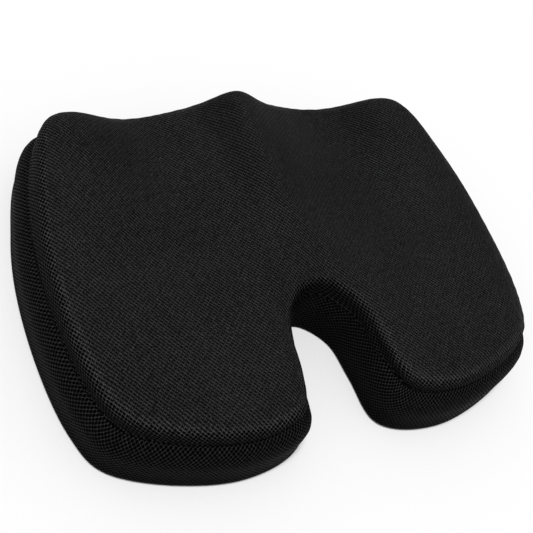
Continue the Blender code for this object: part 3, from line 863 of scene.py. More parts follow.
    def at(self, inset: np.ndarray | float) -> np.ndarray:
        """Place every column at its own inset.

        Args:
            inset: One number, or one to each column.

        Returns:
            The plan positions.
        """
        row = np.broadcast_to(np.asarray(inset, float) / self.inset_step, self.count)
        low = np.minimum(row.astype(int), len(self.rings) - 2)
        share = (row - low)[:, None]
        before = self.place.astype(int) % self.loop_points
        after = (before + 1) % self.loop_points
        part = (self.place % 1)[:, None]
        rings = [self.rings[k, before] * (1 - part) + self.rings[k, after] * part for k in (low, low + 1)]
        return rings[0] * (1 - share) + rings[1] * share


@dataclass
class Contours:
    """Heights of the top: front lobes, ridge between the thighs, leg valleys, seat dish, rear drop."""

    length: float
    seat_height: float = 0.0737
    front_rise: float = 0.0184
    front_rise_start: float = -0.076
    lobe_inner: float = 0.040
    lobe_outer: float = 0.160
    ridge_height: float = 0.0177
    ridge_width: float = 0.0262
    ridge_start: float = -0.063
    ridge_setback: float = 0.010
    valley_depth: float = 0.022
    valley_x: float = 0.1003
    valley_width: float = 0.0506
    dish_depth: float = 0.006
    dish_centre: Pair = (0.100, -0.018)
    dish_radii: Pair = (0.075, 0.080)
    rear_drop: float = 0.0068
    rear_drop_start: float = -0.040

    def height(self, x: np.ndarray, y: np.ndarray) -> np.ndarray:
        """Find the height where the top has levelled out.

        Args:
            x: Places to the sitter's right.
            y: Places towards the front.

        Returns:
            The heights.
        """
        aside, front_y = np.abs(x), self.length / 2
        front = smooth_step(y, self.front_rise_start, front_y)
        found = self.seat_height + self.front_rise * front * smooth_step(aside, self.lobe_inner,
                                                                         self.lobe_outer)
        forward = smooth_step(y, self.ridge_start, front_y - self.ridge_setback)
        found = found + self.ridge_height * forward * np.exp(-((aside / self.ridge_width) ** 2))
        valley = np.exp(-(((aside - self.valley_x) / self.valley_width) ** 2))
        found = found - self.valley_depth * forward * valley
        dish = ((aside - self.dish_centre[0]) / self.dish_radii[0]) ** 2
        dish = dish + ((y - self.dish_centre[1]) / self.dish_radii[1]) ** 2
        found = found - self.dish_depth * np.exp(-dish)
        return found - self.rear_drop * smooth_step(-y, -self.rear_drop_start, front_y)


@dataclass(frozen=True)
class KnitOpeningAndPaintedLight:
    """How the knit opens, and where its yarn takes painted highlight and painted shade; a slope is the
    upward share of the skin's normal.
    """

    open_slopes: Pair = (0.55, 0.97)
    opening_off_roll: float = 0.3
    roll_ends: Pair = (0.22, 0.44)
    # The crest of the roll takes a painted highlight between these slopes; the shares below are painted
    # light on the yarn, and the painted shades darken it.
    crest_starts: Pair = (0.90, 0.965)
    crest_ends: Pair = (0.30, 0.80)
    flat_painted_light: float = 0.59
    roll_painted_shade: float = 0.20
    roll_painted_shade_slopes: Pair = (0.10, 0.80)
    slope_painted_shade: float = 0.20
    slope_painted_shade_slopes: Pair = (0.86, 0.985)
    band_painted_light: float = 0.39
    foot_painted_light: float = 0.08
    foot_height: float = 0.004
    cutout_painted_shade: float = 0.26
    cutout_painted_shade_slopes: Pair = (0.3, 0.9)

    def spread(self, skin: "Skin") -> tuple[np.ndarray, np.ndarray]:
        """Find how the cover's knit differs from place to place.

        Args:
            skin: The skin, with its normals.

        Returns:
            How far the knit is stretched open at every point, and how much its ribs stand out in painted
            light, both from 0 to 1. The ribs take a painted highlight on the crest of the roll, and painted
            shade on steep places, on the slopes of the top, low on the wall and inside the cut-out.
        """
        level, height = skin.normals[:, 2], skin.points[:, 2]
        reach = np.concatenate([np.zeros(skin.seam_row + 1), skin.roll_shares])
        on_roll, in_cutout = np.zeros(len(height)), np.zeros(len(height))
        on_roll[:skin.cap_start] = np.repeat(1 - smooth_step(reach, *self.roll_ends), skin.count)
        in_cutout[:skin.cap_start] = np.tile(skin.inside_cutout, len(reach))

        def steeper(slopes: Pair) -> np.ndarray:
            """Return 1 where the skin is steeper than both slopes, and 0 where it is flatter."""
            return 1 - smooth_step(level, *slopes)

        stretch = steeper(self.open_slopes) * (self.opening_off_roll + (1 - self.opening_off_roll) * on_roll)
        # The crest of the roll gets a painted highlight, and steep places and the slopes of the top get
        # painted shade.
        crest = steeper(self.crest_starts) * (1 - steeper(self.crest_ends)) * on_roll
        tone = self.flat_painted_light + (1 - self.flat_painted_light) * crest
        tone -= self.roll_painted_shade * steeper(self.roll_painted_shade_slopes)
        tone -= self.slope_painted_shade * steeper(self.slope_painted_shade_slopes) * (1 - on_roll)
        # On the band the painted shade deepens towards the foot.
        on_band = height < skin.seam_height
        low = smooth_step(height, self.foot_height, skin.seam_height)
        tone[on_band] = (self.foot_painted_light + (self.band_painted_light - self.foot_painted_light) * low)[on_band]
        # Steep cloth inside the cut-out gets painted shade.
        tone *= 1 - self.cutout_painted_shade * in_cutout * steeper(self.cutout_painted_shade_slopes)
        return stretch, tone


@dataclass
class Skin:
    """The fine outer surface: rings up the wall, over the roll, then the filled top."""

    plan: Plan
    contours: Contours
    zip_heights: Pair
    # How the knit opens, and its painted highlight and painted shade.
    wear: KnitOpeningAndPaintedLight = KnitOpeningAndPaintedLight()
    base_tuck: float = 0.0018
    tuck_height: float = 0.005
    wall_top: float = 0.028
    bulge_power: float = 2.3
    seam_height: float = 0.050
    seam_inset: float = 0.0096
    cutout_seam_inset: float = 0.005
    cutout_half_width: float = 0.060
    seam_fade: Pair = (0.028, 0.068)
    roll_width: float = 0.0310
    roll_power: float = 3.5
    groove_depth: float = 0.0024
    cutout_groove: float = 0.0001
    groove_width: float = 0.0026
    pucker_depth: float = 0.00025
    pucker_pitch: float = 0.0125
    pucker_width: float = 0.008
    pucker_sway: float = 1.7
    pucker_sway_pitches: float = 5.3
    grid: float = 0.005
    grid_edge_room: float = 0.55
    low_heights: tuple[float, ...] = (0.0, 0.0012, 0.0030, 0.0055, 0.0085)
    high_heights: tuple[float, ...] = (0.0280, 0.0320, 0.0360, 0.0395, 0.0425, 0.0450, 0.0468, 0.0481,
                                       0.0491)
    steep_rolls: tuple[float, ...] = (0.045, 0.09, 0.14, 0.21, 0.30, 0.40, 0.50, 0.60, 0.70, 0.79)
    flat_rolls: tuple[float, ...] = (0.28, 0.36, 0.44)

    def __post_init__(self) -> None:
        """Build the points, faces, normals and cloth coordinates."""
        self.count = self.plan.count
        edge = self.plan.at(0)
        rear = -self.plan.length / 2
        inside = smooth_step(edge[:, 1] - rear, *self.seam_fade)
        self.inside_cutout = inside * (np.abs(edge[:, 0]) < self.cutout_half_width) * (edge[:, 1] < 0)
        self.seam_insets = self.seam_inset + (self.cutout_seam_inset - self.seam_inset) * self.inside_cutout
        low_edge, high_edge = self.zip_heights
        middle = (low_edge + high_edge) / 2
        heights = (*self.low_heights, low_edge, middle, high_edge, *self.high_heights, self.seam_height)
        self.rows = [np.column_stack([self.plan.at(self._wall_inset(z)), np.full(self.count, z)])
                     for z in heights]
        self.seam_row = len(self.rows) - 1
        self.window_rows = (heights.index(low_edge), heights.index(high_edge))
        shares = [1 - (1 - share**self.roll_power) ** (1 / self.roll_power) for share in self.steep_rolls]
        self.roll_shares = (*shares, *self.flat_rolls)
        for share in self.roll_shares:
            spot = self.plan.at(self.seam_insets + self.roll_width * share)
            self.rows.append(np.column_stack([spot, self._rolled(spot, share)]))
        self.cap_start = len(self.rows) * self.count
        cap_points, self.cap = self._fill_top()
        self.points = np.vstack([*self.rows, cap_points])
        self.normals = self._normals()
        self.cloth = self._cloth_places()
        # The tone is painted light and painted shade on the knit's yarn.
        self.stretch, self.tone = self.wear.spread(self)
        self._sew_seam()

    def ring(self, row: int) -> slice:
        """Return where the points of a row stand among all points."""
        return slice(row * self.count, (row + 1) * self.count)

    def _wall_inset(self, height: float) -> np.ndarray:
        """Find how far the wall stands in.

        Args:
            height: A height on the wall.

        Returns:
            The inset at that height, for every column.
        """
        foot = self.base_tuck * max(0.0, 1 - height / self.tuck_height) ** 2
        lean = max(0.0, (height - self.wall_top) / (self.seam_height - self.wall_top))
        return foot + self.seam_insets * lean**self.bulge_power

    def _rolled(self, spot: np.ndarray, share: np.ndarray | float) -> np.ndarray:
        """Find the height of the roll and of the top behind it.

        Args:
            spot: Plan places.
            share: How far in from the seam they lie, as a share of the roll's width.

        Returns:
            The heights.
        """
        share = np.clip(share, 0, 1)
        gained = (1 - (1 - share) ** self.roll_power) ** (1 / self.roll_power)
        return self.seam_height + (self.contours.height(spot[:, 0], spot[:, 1]) - self.seam_height) * gained

    def _fill_top(self) -> Part:
        """Fill the top inside the last ring.

        Returns:
            The added points, and faces over all points.
        """
        inner, seam = self.rows[-1][:, :2], self.rows[self.seam_row][:, :2]
        steps = int(self.plan.width / 2 / self.grid)
        lattice = np.arange(-steps, steps + 1) * self.grid
        spots = np.array([(x, y) for x in lattice for y in lattice])
        spots = spots[inside_loop(spots, inner)]
        spots = spots[distance_to_loop(spots, inner) > self.grid * self.grid_edge_room]
        heights = self._rolled(spots, distance_to_loop(spots, seam) / self.roll_width)
        return np.column_stack([spots, heights]), fill_loop(inner, self.cap_start - self.count, spots)

    def strip(self, low: int, high: int, left_out: set[int] = frozenset()) -> Faces:
        """Join rows with quads.

        Args:
            low: The lowest row.
            high: The highest row.
            left_out: First corners of quads to leave open.

        Returns:
            The quads, facing outwards.
        """
        faces = []
        for row in range(low, high):
            faces += join_rings(row * self.count, (row + 1) * self.count, self.count)
        return [face for face in faces if face[0] not in left_out]

    def window(self) -> set[int]:
        """Return the first corners of the quads that the zip window leaves open."""
        columns = range(-self.plan.window_columns, self.plan.window_columns)
        return {row * self.count + i % self.count for row in range(*self.window_rows) for i in columns}

    def whole(self) -> Faces:
        """Return the faces of the whole skin, from the foot to the top."""
        return self.strip(0, len(self.rows) - 1) + self.cap

    def panel(self) -> Faces:
        """Return the faces of the top panel, from the seam inwards."""
        return self.strip(self.seam_row, len(self.rows) - 1) + self.cap

    def band(self) -> Faces:
        """Return the faces of the side band, with the zip window left open."""
        return self.strip(0, self.seam_row, self.window())

    def _normals(self) -> np.ndarray:
        """Find which way the skin faces.

        Returns:
            The outward unit normal at every point.
        """
        total = np.zeros_like(self.points)
        for face in self.whole():
            corners = self.points[face]
            turn = np.cross(corners[1] - corners[0], corners[2] - corners[0])
            if len(face) == 4:
                turn = turn + np.cross(corners[2] - corners[0], corners[3] - corners[0])
            total[face] += turn
        return total / np.linalg.norm(total, axis=1, keepdims=True)

    def _cloth_places(self) -> np.ndarray:
        """Lay the top panel out flat.

        Returns:
            Cloth coordinates of every point of the panel, in metres.
        """
        cloth = self.points[:, :2].copy()
        inner = self.rows[-1]
        outwards = -Plan.inward(inner[:, :2])
        reach = np.zeros(self.count)
        for row in range(len(self.rows) - 2, self.seam_row - 1, -1):
            reach = reach + np.linalg.norm(self.rows[row + 1] - self.rows[row], axis=1)
            cloth[self.ring(row)] = inner[:, :2] + outwards * reach[:, None]
        return cloth

    def _sew_seam(self) -> None:
        """Draw the skin in along the seam, with light puckers beside it."""
        depth = self.groove_depth + (self.cutout_groove - self.groove_depth) * self.inside_cutout
        turns = 2 * math.pi * self.plan.along / self.pucker_pitch
        wave = np.sin(turns + self.pucker_sway * np.sin(turns / self.pucker_sway_pitches))
        pull = np.zeros(len(self.points))
        for row, spots in enumerate(self.rows):
            away = np.linalg.norm(spots - self.rows[self.seam_row], axis=1)
            drawn = depth * np.exp(-((away / self.groove_width) ** 2))
            near = (away / self.pucker_width) * np.exp(1 - away / self.pucker_width)
            drawn = drawn + self.pucker_depth * wave * near * (1 - self.inside_cutout) * (away > 0)
            pull[self.ring(row)] = drawn
        self.points = self.points - self.normals * pull[:, None]


# ---------------------------------------------------------------- making pieces
def stand(name: str, data: bpy.types.ID) -> bpy.types.Object:
    """Put a mesh, a light or a camera into the scene.

    Args:
        name: The object's name.
        data: What it shows.

    Returns:
        The object.
    """
    made = bpy.data.objects.new(name, data)
    bpy.context.scene.collection.objects.link(made)
    return made


def mount(piece: bpy.types.Object, body: str) -> None:
    """Let a piece ride on its CAD body, and report it.

    Args:
        piece: The piece.
        body: The body's name.
    """
    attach(piece, body)
    LOG.info("%s: %d faces on %s", piece.name, len(piece.data.polygons), body)


def dress_node(node: str, finish: bpy.types.Material) -> None:
    """Give a CAD node that stays its own finish.

    Args:
        node: The node's name.
        finish: The material.
    """
    shown = frame["nodes"][node]
    if not shown.material_slots:
        shown.data.materials.append(finish)
    for slot in shown.material_slots:
        slot.material = finish
    LOG.info("%s: CAD node in %s", node, finish.name)


def new_piece(name: str, points: np.ndarray, faces: Faces, finish: bpy.types.Material) -> bpy.types.Object:
    """Make a smooth mesh piece of its used points, on the cushion's body.

    Args:
        name: The piece's name.
        points: Points that the faces number.
        faces: Corners of each face.
        finish: Its material.

    Returns:
        The piece.
    """
    used = sorted({corner for face in faces for corner in face})
    number = {old: new for new, old in enumerate(used)}
    mesh = bpy.data.meshes.new(name)
    mesh.from_pydata([tuple(points[old]) for old in used], [],
                     [[number[corner] for corner in face] for face in faces])
    mesh.materials.append(finish)
    piece = stand(name, mesh)
    mesh.shade_smooth()
    mount(piece, "cushion")
    return piece


def apply_modifiers(piece: bpy.types.Object) -> None:
    """Write a piece's evaluated mesh back as its own mesh.

    Args:
        piece: The piece, which loses its modifiers.
    """
    graph = bpy.context.evaluated_depsgraph_get()
    made = bpy.data.meshes.new_from_object(piece.evaluated_get(graph), depsgraph=graph)
    old = piece.data
    piece.modifiers.clear()
    piece.data = made
    bpy.data.meshes.remove(old)
    made.name = piece.name


def thicken(piece: bpy.types.Object, thickness: float, levels: int) -> None:
    """Give a sheet its thickness, inwards, and round it.

    Args:
        piece: The sheet.
        thickness: Its thickness in metres.
        levels: Levels of subdivision.
    """
    solid = piece.modifiers.new("thickness", "SOLIDIFY")
    solid.thickness = thickness
    solid.offset = -1
    if levels:
        round_off = piece.modifiers.new("smooth", "SUBSURF")
        round_off.levels = round_off.render_levels = levels
    apply_modifiers(piece)


@dataclass
class PuffedCover:
    """One cloth simulation of the skin, held at seam, foot and zip window."""

    start_in: float = 0.0012
    cap: float = 0.0020
    pressure: float = 3.0
    frames: int = 20
    quality: int = 5
    mass: float = 0.3
    tension: float = 15
    shear: float = 5
    bending: float = 0.5
    window_margin: int = 4
    foot_hold: tuple[float, ...] = (1.0, 1.0, 1.0, 0.7, 0.35)
    seam_hold: tuple[float, ...] = (0.6, 1.0, 0.6)

    def held(self, skin: Skin) -> np.ndarray:
        """Find how firmly the cover is held from place to place.

        Args:
            skin: The skin.

        Returns:
            From 0 to 1 for every point.
        """
        firm = np.zeros(len(skin.points))
        for row, weight in (*enumerate(self.foot_hold), *enumerate(self.seam_hold, skin.seam_row - 1)):
            firm[skin.ring(row)] = weight
        ends = skin.plan.window_columns
        columns = np.arange(-ends - self.window_margin, ends + self.window_margin + 1)
        aside = np.clip((np.abs(columns) - ends) / self.window_margin, 0, 1)
        low, high = skin.window_rows
        for row in range(low - 1, high + 2):
            at = row * skin.count + columns % skin.count
            firm[at] = np.maximum(firm[at], 1 - aside)
        return firm

    def _hang(self, start: np.ndarray, faces: Faces, firm: np.ndarray) -> bpy.types.Object:
        """Make the cloth, ready to run.

        Args:
            start: Where its points start.
            faces: Its faces.
            firm: How firmly each point is held.

        Returns:
            The cloth.
        """
        mesh = bpy.data.meshes.new("puffing")
        mesh.from_pydata([tuple(point) for point in start], [], faces)
        piece = stand("puffing", mesh)
        group = piece.vertex_groups.new(name="held")
        for weight in np.unique(firm[firm > 0]):
            group.add(np.flatnonzero(firm == weight).tolist(), float(weight), "REPLACE")
        cloth = piece.modifiers.new("cloth", "CLOTH")
        settings = cloth.settings
        settings.quality = self.quality
        settings.mass = self.mass
        settings.tension_stiffness = settings.compression_stiffness = self.tension
        settings.shear_stiffness = self.shear
        settings.bending_stiffness = self.bending
        settings.use_pressure = True
        settings.uniform_pressure_force = self.pressure
        settings.vertex_group_mass = group.name
        settings.effector_weights.gravity = 0
        cloth.collision_settings.use_collision = False
        cloth.point_cache.frame_start, cloth.point_cache.frame_end = 1, self.frames
        return piece

    def _settle(self, piece: bpy.types.Object) -> np.ndarray:
        """Run the cloth through its frames, and take it away.

        Args:
            piece: The cloth.

        Returns:
            Where its points came to rest.
        """
        scene = bpy.context.scene
        for number in range(1, self.frames + 1):
            scene.frame_set(number)
        graph = bpy.context.evaluated_depsgraph_get()
        result = piece.evaluated_get(graph).to_mesh()
        found = np.empty(len(result.vertices) * 3)
        result.vertices.foreach_get("co", found)
        scene.frame_set(1)
        bpy.data.objects.remove(piece)
        return found.reshape(-1, 3)

    def run(self, skin: Skin) -> None:
        """Simulate, then move the skin's points to the capped result.

        Args:
            skin: The skin, which is changed.
        """
        # The cloth starts a little slack, and no point ends further than the cap from where it started.
        firm = self.held(skin)
        start = skin.points - skin.normals * (self.start_in * (1 - firm))[:, None]
        moved = self._settle(self._hang(start, skin.whole(), firm)) - start
        far = np.linalg.norm(moved, axis=1, keepdims=True)
        kept = moved * (self.cap * np.tanh(far / self.cap) / np.maximum(far, 1e-9))
        skin.points = start + kept
        LOG.info("cloth moved up to %.1f mm, kept %.1f mm", far.max() * 1000,
                 np.linalg.norm(kept, axis=1).max() * 1000)


@dataclass
class Cover:
    """The sewn cover: top panel, side band, base cloth with grip dots, and the tape behind the seam."""

    finishes: Finishes
    skin: Skin
    thickness: float = 0.0023
    seam_gap: float = 0.0003
    tape_thickness: float = 0.0005
    tape_rows: int = 3
    base_raise: float = 0.0008
    base_thickness: float = 0.0011
    base_margin: float = 0.0026
    dot_pitch: float = 0.0080
    dot_radius: float = 0.0018
    dot_height: float = 0.0010
    dot_edge_room: float = 0.0065
    dot_sides: int = 10
    dot_profile: tuple[Pair, ...] = ((1.0, 1.0), (0.92, 0.45), (0.62, 0.08), (0.30, 0.0))

    def build(self) -> None:
        """Make every piece of the cover."""
        self._top()
        self._band()
        self._seam_tape()
        self._base()
        self._grip_dots()
        dress_node("lower_seam_tape", self.finishes.tape)

    def _dress(self, piece: bpy.types.Object, faces: Faces, places: np.ndarray,
               wrap: float = 0.0) -> None:
        """Write the cloth coordinates, the stretch and the tone, which is painted light and shade, onto a
        panel.

        Args:
            piece: The panel, still a sheet.
            faces: Its faces over the skin's points.
            places: Cloth coordinates by the skin's points.
            wrap: Length round the cover where the first coordinate starts again, or 0.
        """
        layer = piece.data.uv_layers.new(name="cloth")
        values = []
        for face in faces:
            spots = places[face].copy()
            if wrap and np.ptp(spots[:, 0]) > wrap / 2:
                spots[spots[:, 0] < wrap / 2, 0] += wrap
            values.append(spots)
        layer.uv.foreach_set("vector", np.concatenate(values).astype(np.float32).ravel())
        used = sorted({corner for face in faces for corner in face})
        for name, spread in (("stretch", self.skin.stretch), ("tone", self.skin.tone)):
            shown = piece.data.attributes.new(name, "FLOAT", "POINT")
            shown.data.foreach_set("value", spread[used].astype(np.float32))

    def _panel(self, name: str, faces: Faces, shift: float, finish: bpy.types.Material,
               places: np.ndarray, wrap: float = 0.0) -> bpy.types.Object:
        """Cut a panel out of the skin and give it its thickness.

        Args:
            name: The panel's name.
            faces: Its faces over the skin's points.
            shift: How far its edge at the seam is raised.
            finish: Its material.
            places: Cloth coordinates by the skin's points.
            wrap: Length round the cover where the first coordinate starts again, or 0.

        Returns:
            The panel.
        """
        points = self.skin.points.copy()
        points[self.skin.ring(self.skin.seam_row), 2] += shift
        piece = new_piece(name, points, faces, finish)
        self._dress(piece, faces, places, wrap)
        thicken(piece, self.thickness, 1)
        return piece

    def _top(self) -> None:
        """Make the top panel."""
        piece = self._panel("cover_top", self.skin.panel(), self.seam_gap / 2, self.finishes.top_mesh,
                            self.skin.cloth)
        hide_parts("cover_top_panel")

    def _band(self) -> None:
        """Make the side band with its zip window."""
        skin = self.skin
        rise = np.zeros(skin.count)
        places = np.zeros((len(skin.points), 2))
        for row in range(skin.seam_row + 1):
            if row:
                rise = rise + np.linalg.norm(skin.rows[row] - skin.rows[row - 1], axis=1)
            places[skin.ring(row)] = np.column_stack([skin.plan.along, rise])
        round_trip = round(skin.plan.perimeter / BAND_PITCH) * BAND_PITCH
        places[:, 0] *= round_trip / skin.plan.perimeter
        piece = self._panel("cover_band", skin.band(), -self.seam_gap / 2, self.finishes.band_mesh, places,
                            round_trip)
        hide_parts("cover_side_band")

    def _seam_tape(self) -> None:
        """Make the tape that bridges the seam from behind."""
        skin = self.skin
        faces = skin.strip(skin.seam_row - self.tape_rows, skin.seam_row + self.tape_rows)
        points = skin.points - skin.normals * (self.thickness + self.seam_gap)
        piece = new_piece("seam_tape", points, faces, self.finishes.tape)
        thicken(piece, self.tape_thickness, 1)
        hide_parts("upper_seam_tape")

    def _foot(self, margin: float) -> np.ndarray:
        """Return the plan loop inside the wall's foot, a margin in from the cloth's inner face."""
        return self.skin.plan.at(self.skin.base_tuck + margin)

    def _base(self) -> None:
        """Make the base cloth, just clear of the floor, with rounded edges."""
        loop = self._foot(self.base_margin)
        inner = self._foot(self.base_margin + self.base_thickness / 2)
        low, high = self.base_raise, self.base_raise + self.base_thickness
        middle = (low + high) / 2
        rings = [(inner, low), (loop, middle), (inner, high)]
        points = np.vstack([np.column_stack([ring, np.full(len(ring), z)]) for ring, z in rings])
        count = len(loop)
        faces = fill_loop(inner, 2 * count) + [face[::-1] for face in fill_loop(inner, 0)]
        faces += join_rings(0, count, count) + join_rings(count, 2 * count, count)
        piece = new_piece("base_cloth", points, faces, self.finishes.base)
        piece.data.set_sharp_from_angle(angle=math.radians(60))
        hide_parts("cover_base_panel")

    def _dot(self) -> Part:
        """Make one rubber dot.

        Returns:
            Points and faces, with its underside at height 0.
        """
        sides, last = self.dot_sides, (len(self.dot_profile) - 1) * self.dot_sides
        turns = np.arange(sides) * 2 * math.pi / sides
        points = [(girth * self.dot_radius * math.cos(turn), girth * self.dot_radius * math.sin(turn),
                   height * self.dot_height) for girth, height in self.dot_profile for turn in turns]
        faces = [list(range(sides)), list(range(last, last + sides))[::-1]]
        for start in range(0, last, sides):
            faces += join_rings(start, start + sides, sides)
        return np.array(points), faces

    def _grip_dots(self) -> None:
        """Make the rubber dots under the base, whose undersides rest on the floor."""
        steps = int(self.skin.plan.width / 2 / self.dot_pitch)
        row_gap = self.dot_pitch / 2 * math.sqrt(3)
        spots = np.array([((i + (j % 2) / 2) * self.dot_pitch, j * row_gap)
                          for j in range(-2 * steps, 2 * steps + 1) for i in range(-steps, steps + 1)])
        spots = spots[inside_loop(spots, self._foot(self.base_margin + self.dot_edge_room))]
        points, faces = copies(self._dot(), [Matrix.Translation((x, y, 0)) for x, y in spots])
        piece = new_piece("grip_dots", points, faces, self.finishes.rubber)


@dataclass
class Filling:
    """The liner round the foam, and the moulded foam block."""

    finishes: Finishes
    skin: Skin
    liner_depth: float = 0.0037
    liner_thickness: float = 0.0005
    foam_depth: float = 0.0046
    liner_floor: float = 0.0030
    foam_floor: float = 0.0040
    zip_dent: float = 0.0014
    dent_margin: int = 3

    def build(self) -> None:
        """Make the liner and the foam."""
        liner_points, faces = self._layer(self.liner_depth, self.liner_floor)
        liner = new_piece("liner_bag", liner_points, faces, self.finishes.liner)
        thicken(liner, self.liner_thickness, 0)
        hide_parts("inner_liner_upper", "inner_liner_lower")
        points, faces = self._layer(self.foam_depth, self.foam_floor)
        foam = new_piece("foam_block", points, faces, self.finishes.foam)
        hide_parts("foam_core")

    def _layer(self, depth: float, floor: float) -> Part:
        """Move the skin inwards and close it underneath.

        Args:
            depth: How far inside the skin the layer lies.
            floor: Height of its underside.

        Returns:
            Points and faces of the closed surface.
        """
        # The layer is dented behind the window, where the zip needs room.
        skin = self.skin
        depths = np.full(len(skin.points), depth)
        low, high = skin.window_rows
        ends = skin.plan.window_columns + self.dent_margin
        columns = np.arange(-ends, ends + 1) % skin.count
        for row in range(low - 1, high + 2):
            depths[row * skin.count + columns] += self.zip_dent
        points = skin.points - skin.normals * depths[:, None]
        first = next(row for row in range(len(skin.rows)) if points[skin.ring(row), 2].min() > floor)
        edge = points[skin.ring(first), :2]
        sole = np.column_stack([edge, np.full(skin.count, floor)])
        faces = [face[::-1] for face in fill_loop(edge, len(points))]
        faces += join_rings(len(points), first * skin.count, skin.count)
        faces += skin.strip(first, len(skin.rows) - 1) + skin.cap
        return np.vstack([points, sole]), faces


@dataclass
class Zip:
    """The zip in the front of the side band."""

    finishes: Finishes
    plan: Plan
    height: float
    tooth_pitch: float = 0.0014
    tooth_width: float = 0.00082
    neck_room: float = 0.00038
    stitch_length: float = 0.0024
    stitch_pitch: float = 0.0032
    stitch_radius: float = 0.00026
    stitch_inset: float = 0.0017
    bevel: float = 0.00022
    pill_sides: int = 8
    pill_shoulder: Pair = (0.75, 0.6)

    def build(self) -> None:
        """Make the zip's visible pieces and dress the CAD nodes that stay."""
        for number, side in enumerate(("upper", "lower")):
            self._teeth(side, number * self.tooth_pitch / 2)
            dress_node(f"zipper_tape_{side}", self.finishes.zip_tape)
            dress_node(f"zipper_top_stop_{side}", self.finishes.metal)
        dress_node("zipper_bottom_stop", self.finishes.metal)
        self._window_stitching()
        self._softened("slider", "zipper_slider", "zip_slider")
        self._softened("pull_tab", "zipper_pull", "zip_pull")

    def _pill(self, length: float, radius: float, squash: float) -> Part:
        """Make one round-ended rod along its first axis.

        Args:
            length: Its whole length.
            radius: Its half width along the third axis.
            squash: Its half width along the second axis as a share of radius.

        Returns:
            Points and faces.
        """
        sides = self.pill_sides
        turns = np.arange(sides) * 2 * math.pi / sides
        straight = length / 2 - radius
        reach, girth = self.pill_shoulder
        rings = [(-straight - radius * reach, girth), (-straight, 1.0), (straight, 1.0),
                 (straight + radius * reach, girth)]
        points = [(u, r * radius * squash * math.cos(t), r * radius * math.sin(t))
                  for u, r in rings for t in turns]
        points += [(-length / 2, 0, 0), (length / 2, 0, 0)]
        last, tip = (len(rings) - 1) * sides, len(rings) * sides
        faces = [[tip, (i + 1) % sides, i] for i in range(sides)]
        faces += [[tip + 1, last + i, last + (i + 1) % sides] for i in range(sides)]
        for start in range(0, last, sides):
            faces += join_rings(start + sides, start, sides)
        return np.array(points), faces

    def _placed(self, length: float, depth: float, height: float, upright: bool) -> Matrix:
        """Place something on the front wall.

        Args:
            length: Its place along the front arc from the middle.
            depth: How far behind the wall's face it lies.
            height: Its height.
            upright: Whether its first axis points up and not along the arc.

        Returns:
            Its matrix; the second axis points out of the wall.
        """
        angle = length / self.plan.front_radius
        x, y = self.plan.front_point(angle, depth)
        along = Vector((math.cos(angle), -math.sin(angle), 0))
        out = Vector((math.sin(angle), math.cos(angle), 0))
        first, third = (Vector((0, 0, 1)), -along) if upright else (along, Vector((0, 0, 1)))
        made = Matrix((first, out, third)).transposed().to_4x4()
        made.translation = (x, y, height)
        return made

    def _teeth(self, side: str, shift: float) -> None:
        """Make one row of nylon teeth in the place of its plain coil.

        Args:
            side: Upper or lower.
            shift: How far this row is moved along, so that the rows interlock.
        """
        node = f"zipper_coil_{side}"
        low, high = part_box(node)
        radius = self.plan.front_radius
        reach = radius * math.asin(high.x / radius) - self.tooth_pitch
        far = max((low.z, high.z), key=lambda z: abs(z - self.height))
        nose = self.height + math.copysign(self.neck_room, far - self.height)
        length = abs(far - nose)
        front = self.plan.length / 2
        face_depth = front - high.y
        back_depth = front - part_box("zipper_tape_upper")[1].y
        depth = (face_depth + back_depth) / 2
        pill = self._pill(length, self.tooth_width / 2, (back_depth - face_depth) / self.tooth_width)
        count = int((2 * reach - abs(shift)) / self.tooth_pitch)
        places = [self._placed(-reach + shift + i * self.tooth_pitch, depth, (nose + far) / 2, True)
                  for i in range(count)]
        piece = new_piece(f"zip_teeth_{side}", *copies(pill, places), self.finishes.nylon)
        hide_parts(node)

    def _window_stitching(self) -> None:
        """Make the row of stitches round the zip window."""
        pill = self._pill(self.stitch_length, self.stitch_radius, 1.0)
        reach = self.plan.window_half + self.stitch_inset
        low, high = WINDOW_HEIGHTS
        places = []
        count = int(2 * reach / self.stitch_pitch)
        for height in (low - self.stitch_inset, high + self.stitch_inset):
            places += [self._placed(-reach + (i + 0.5) * 2 * reach / count, 0.0, height, False)
                       for i in range(count)]
        rise = high - low + 2 * self.stitch_inset
        upright = max(int(rise / self.stitch_pitch), 2)
        for end in (-reach, reach):
            places += [self._placed(end, 0.0, low - self.stitch_inset + (i + 0.5) * rise / upright, True)
                       for i in range(upright)]
        piece = new_piece("zip_window_stitching", *copies(pill, places), self.finishes.thread)

    def _softened(self, name: str, node: str, body: str) -> None:
        """Replace a sharp CAD part with a copy whose edges are rounded.

        Args:
            name: The new piece's name.
            node: The CAD node.
            body: The body that it rides on.
        """
        shape = bmesh.new()
        shape.from_mesh(frame["nodes"][node].data)
        bmesh.ops.remove_doubles(shape, verts=shape.verts, dist=2e-6)
        bmesh.ops.dissolve_limit(shape, angle_limit=math.radians(2), verts=shape.verts, edges=shape.edges)
        mesh = bpy.data.meshes.new(name)
        shape.to_mesh(mesh)
        shape.free()
        mesh.materials.clear()
        mesh.materials.append(self.finishes.metal)
        piece = stand(name, mesh)
        rounding = piece.modifiers.new("rounding", "BEVEL")
        rounding.width = self.bevel
        rounding.segments = 2
        rounding.limit_method = "ANGLE"
        rounding.angle_limit = math.radians(35)
        rounding.harden_normals = False
        apply_modifiers(piece)
        piece.data.shade_smooth()
        piece.data.set_sharp_from_angle(angle=math.radians(50))
        mount(piece, body)
        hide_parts(node)


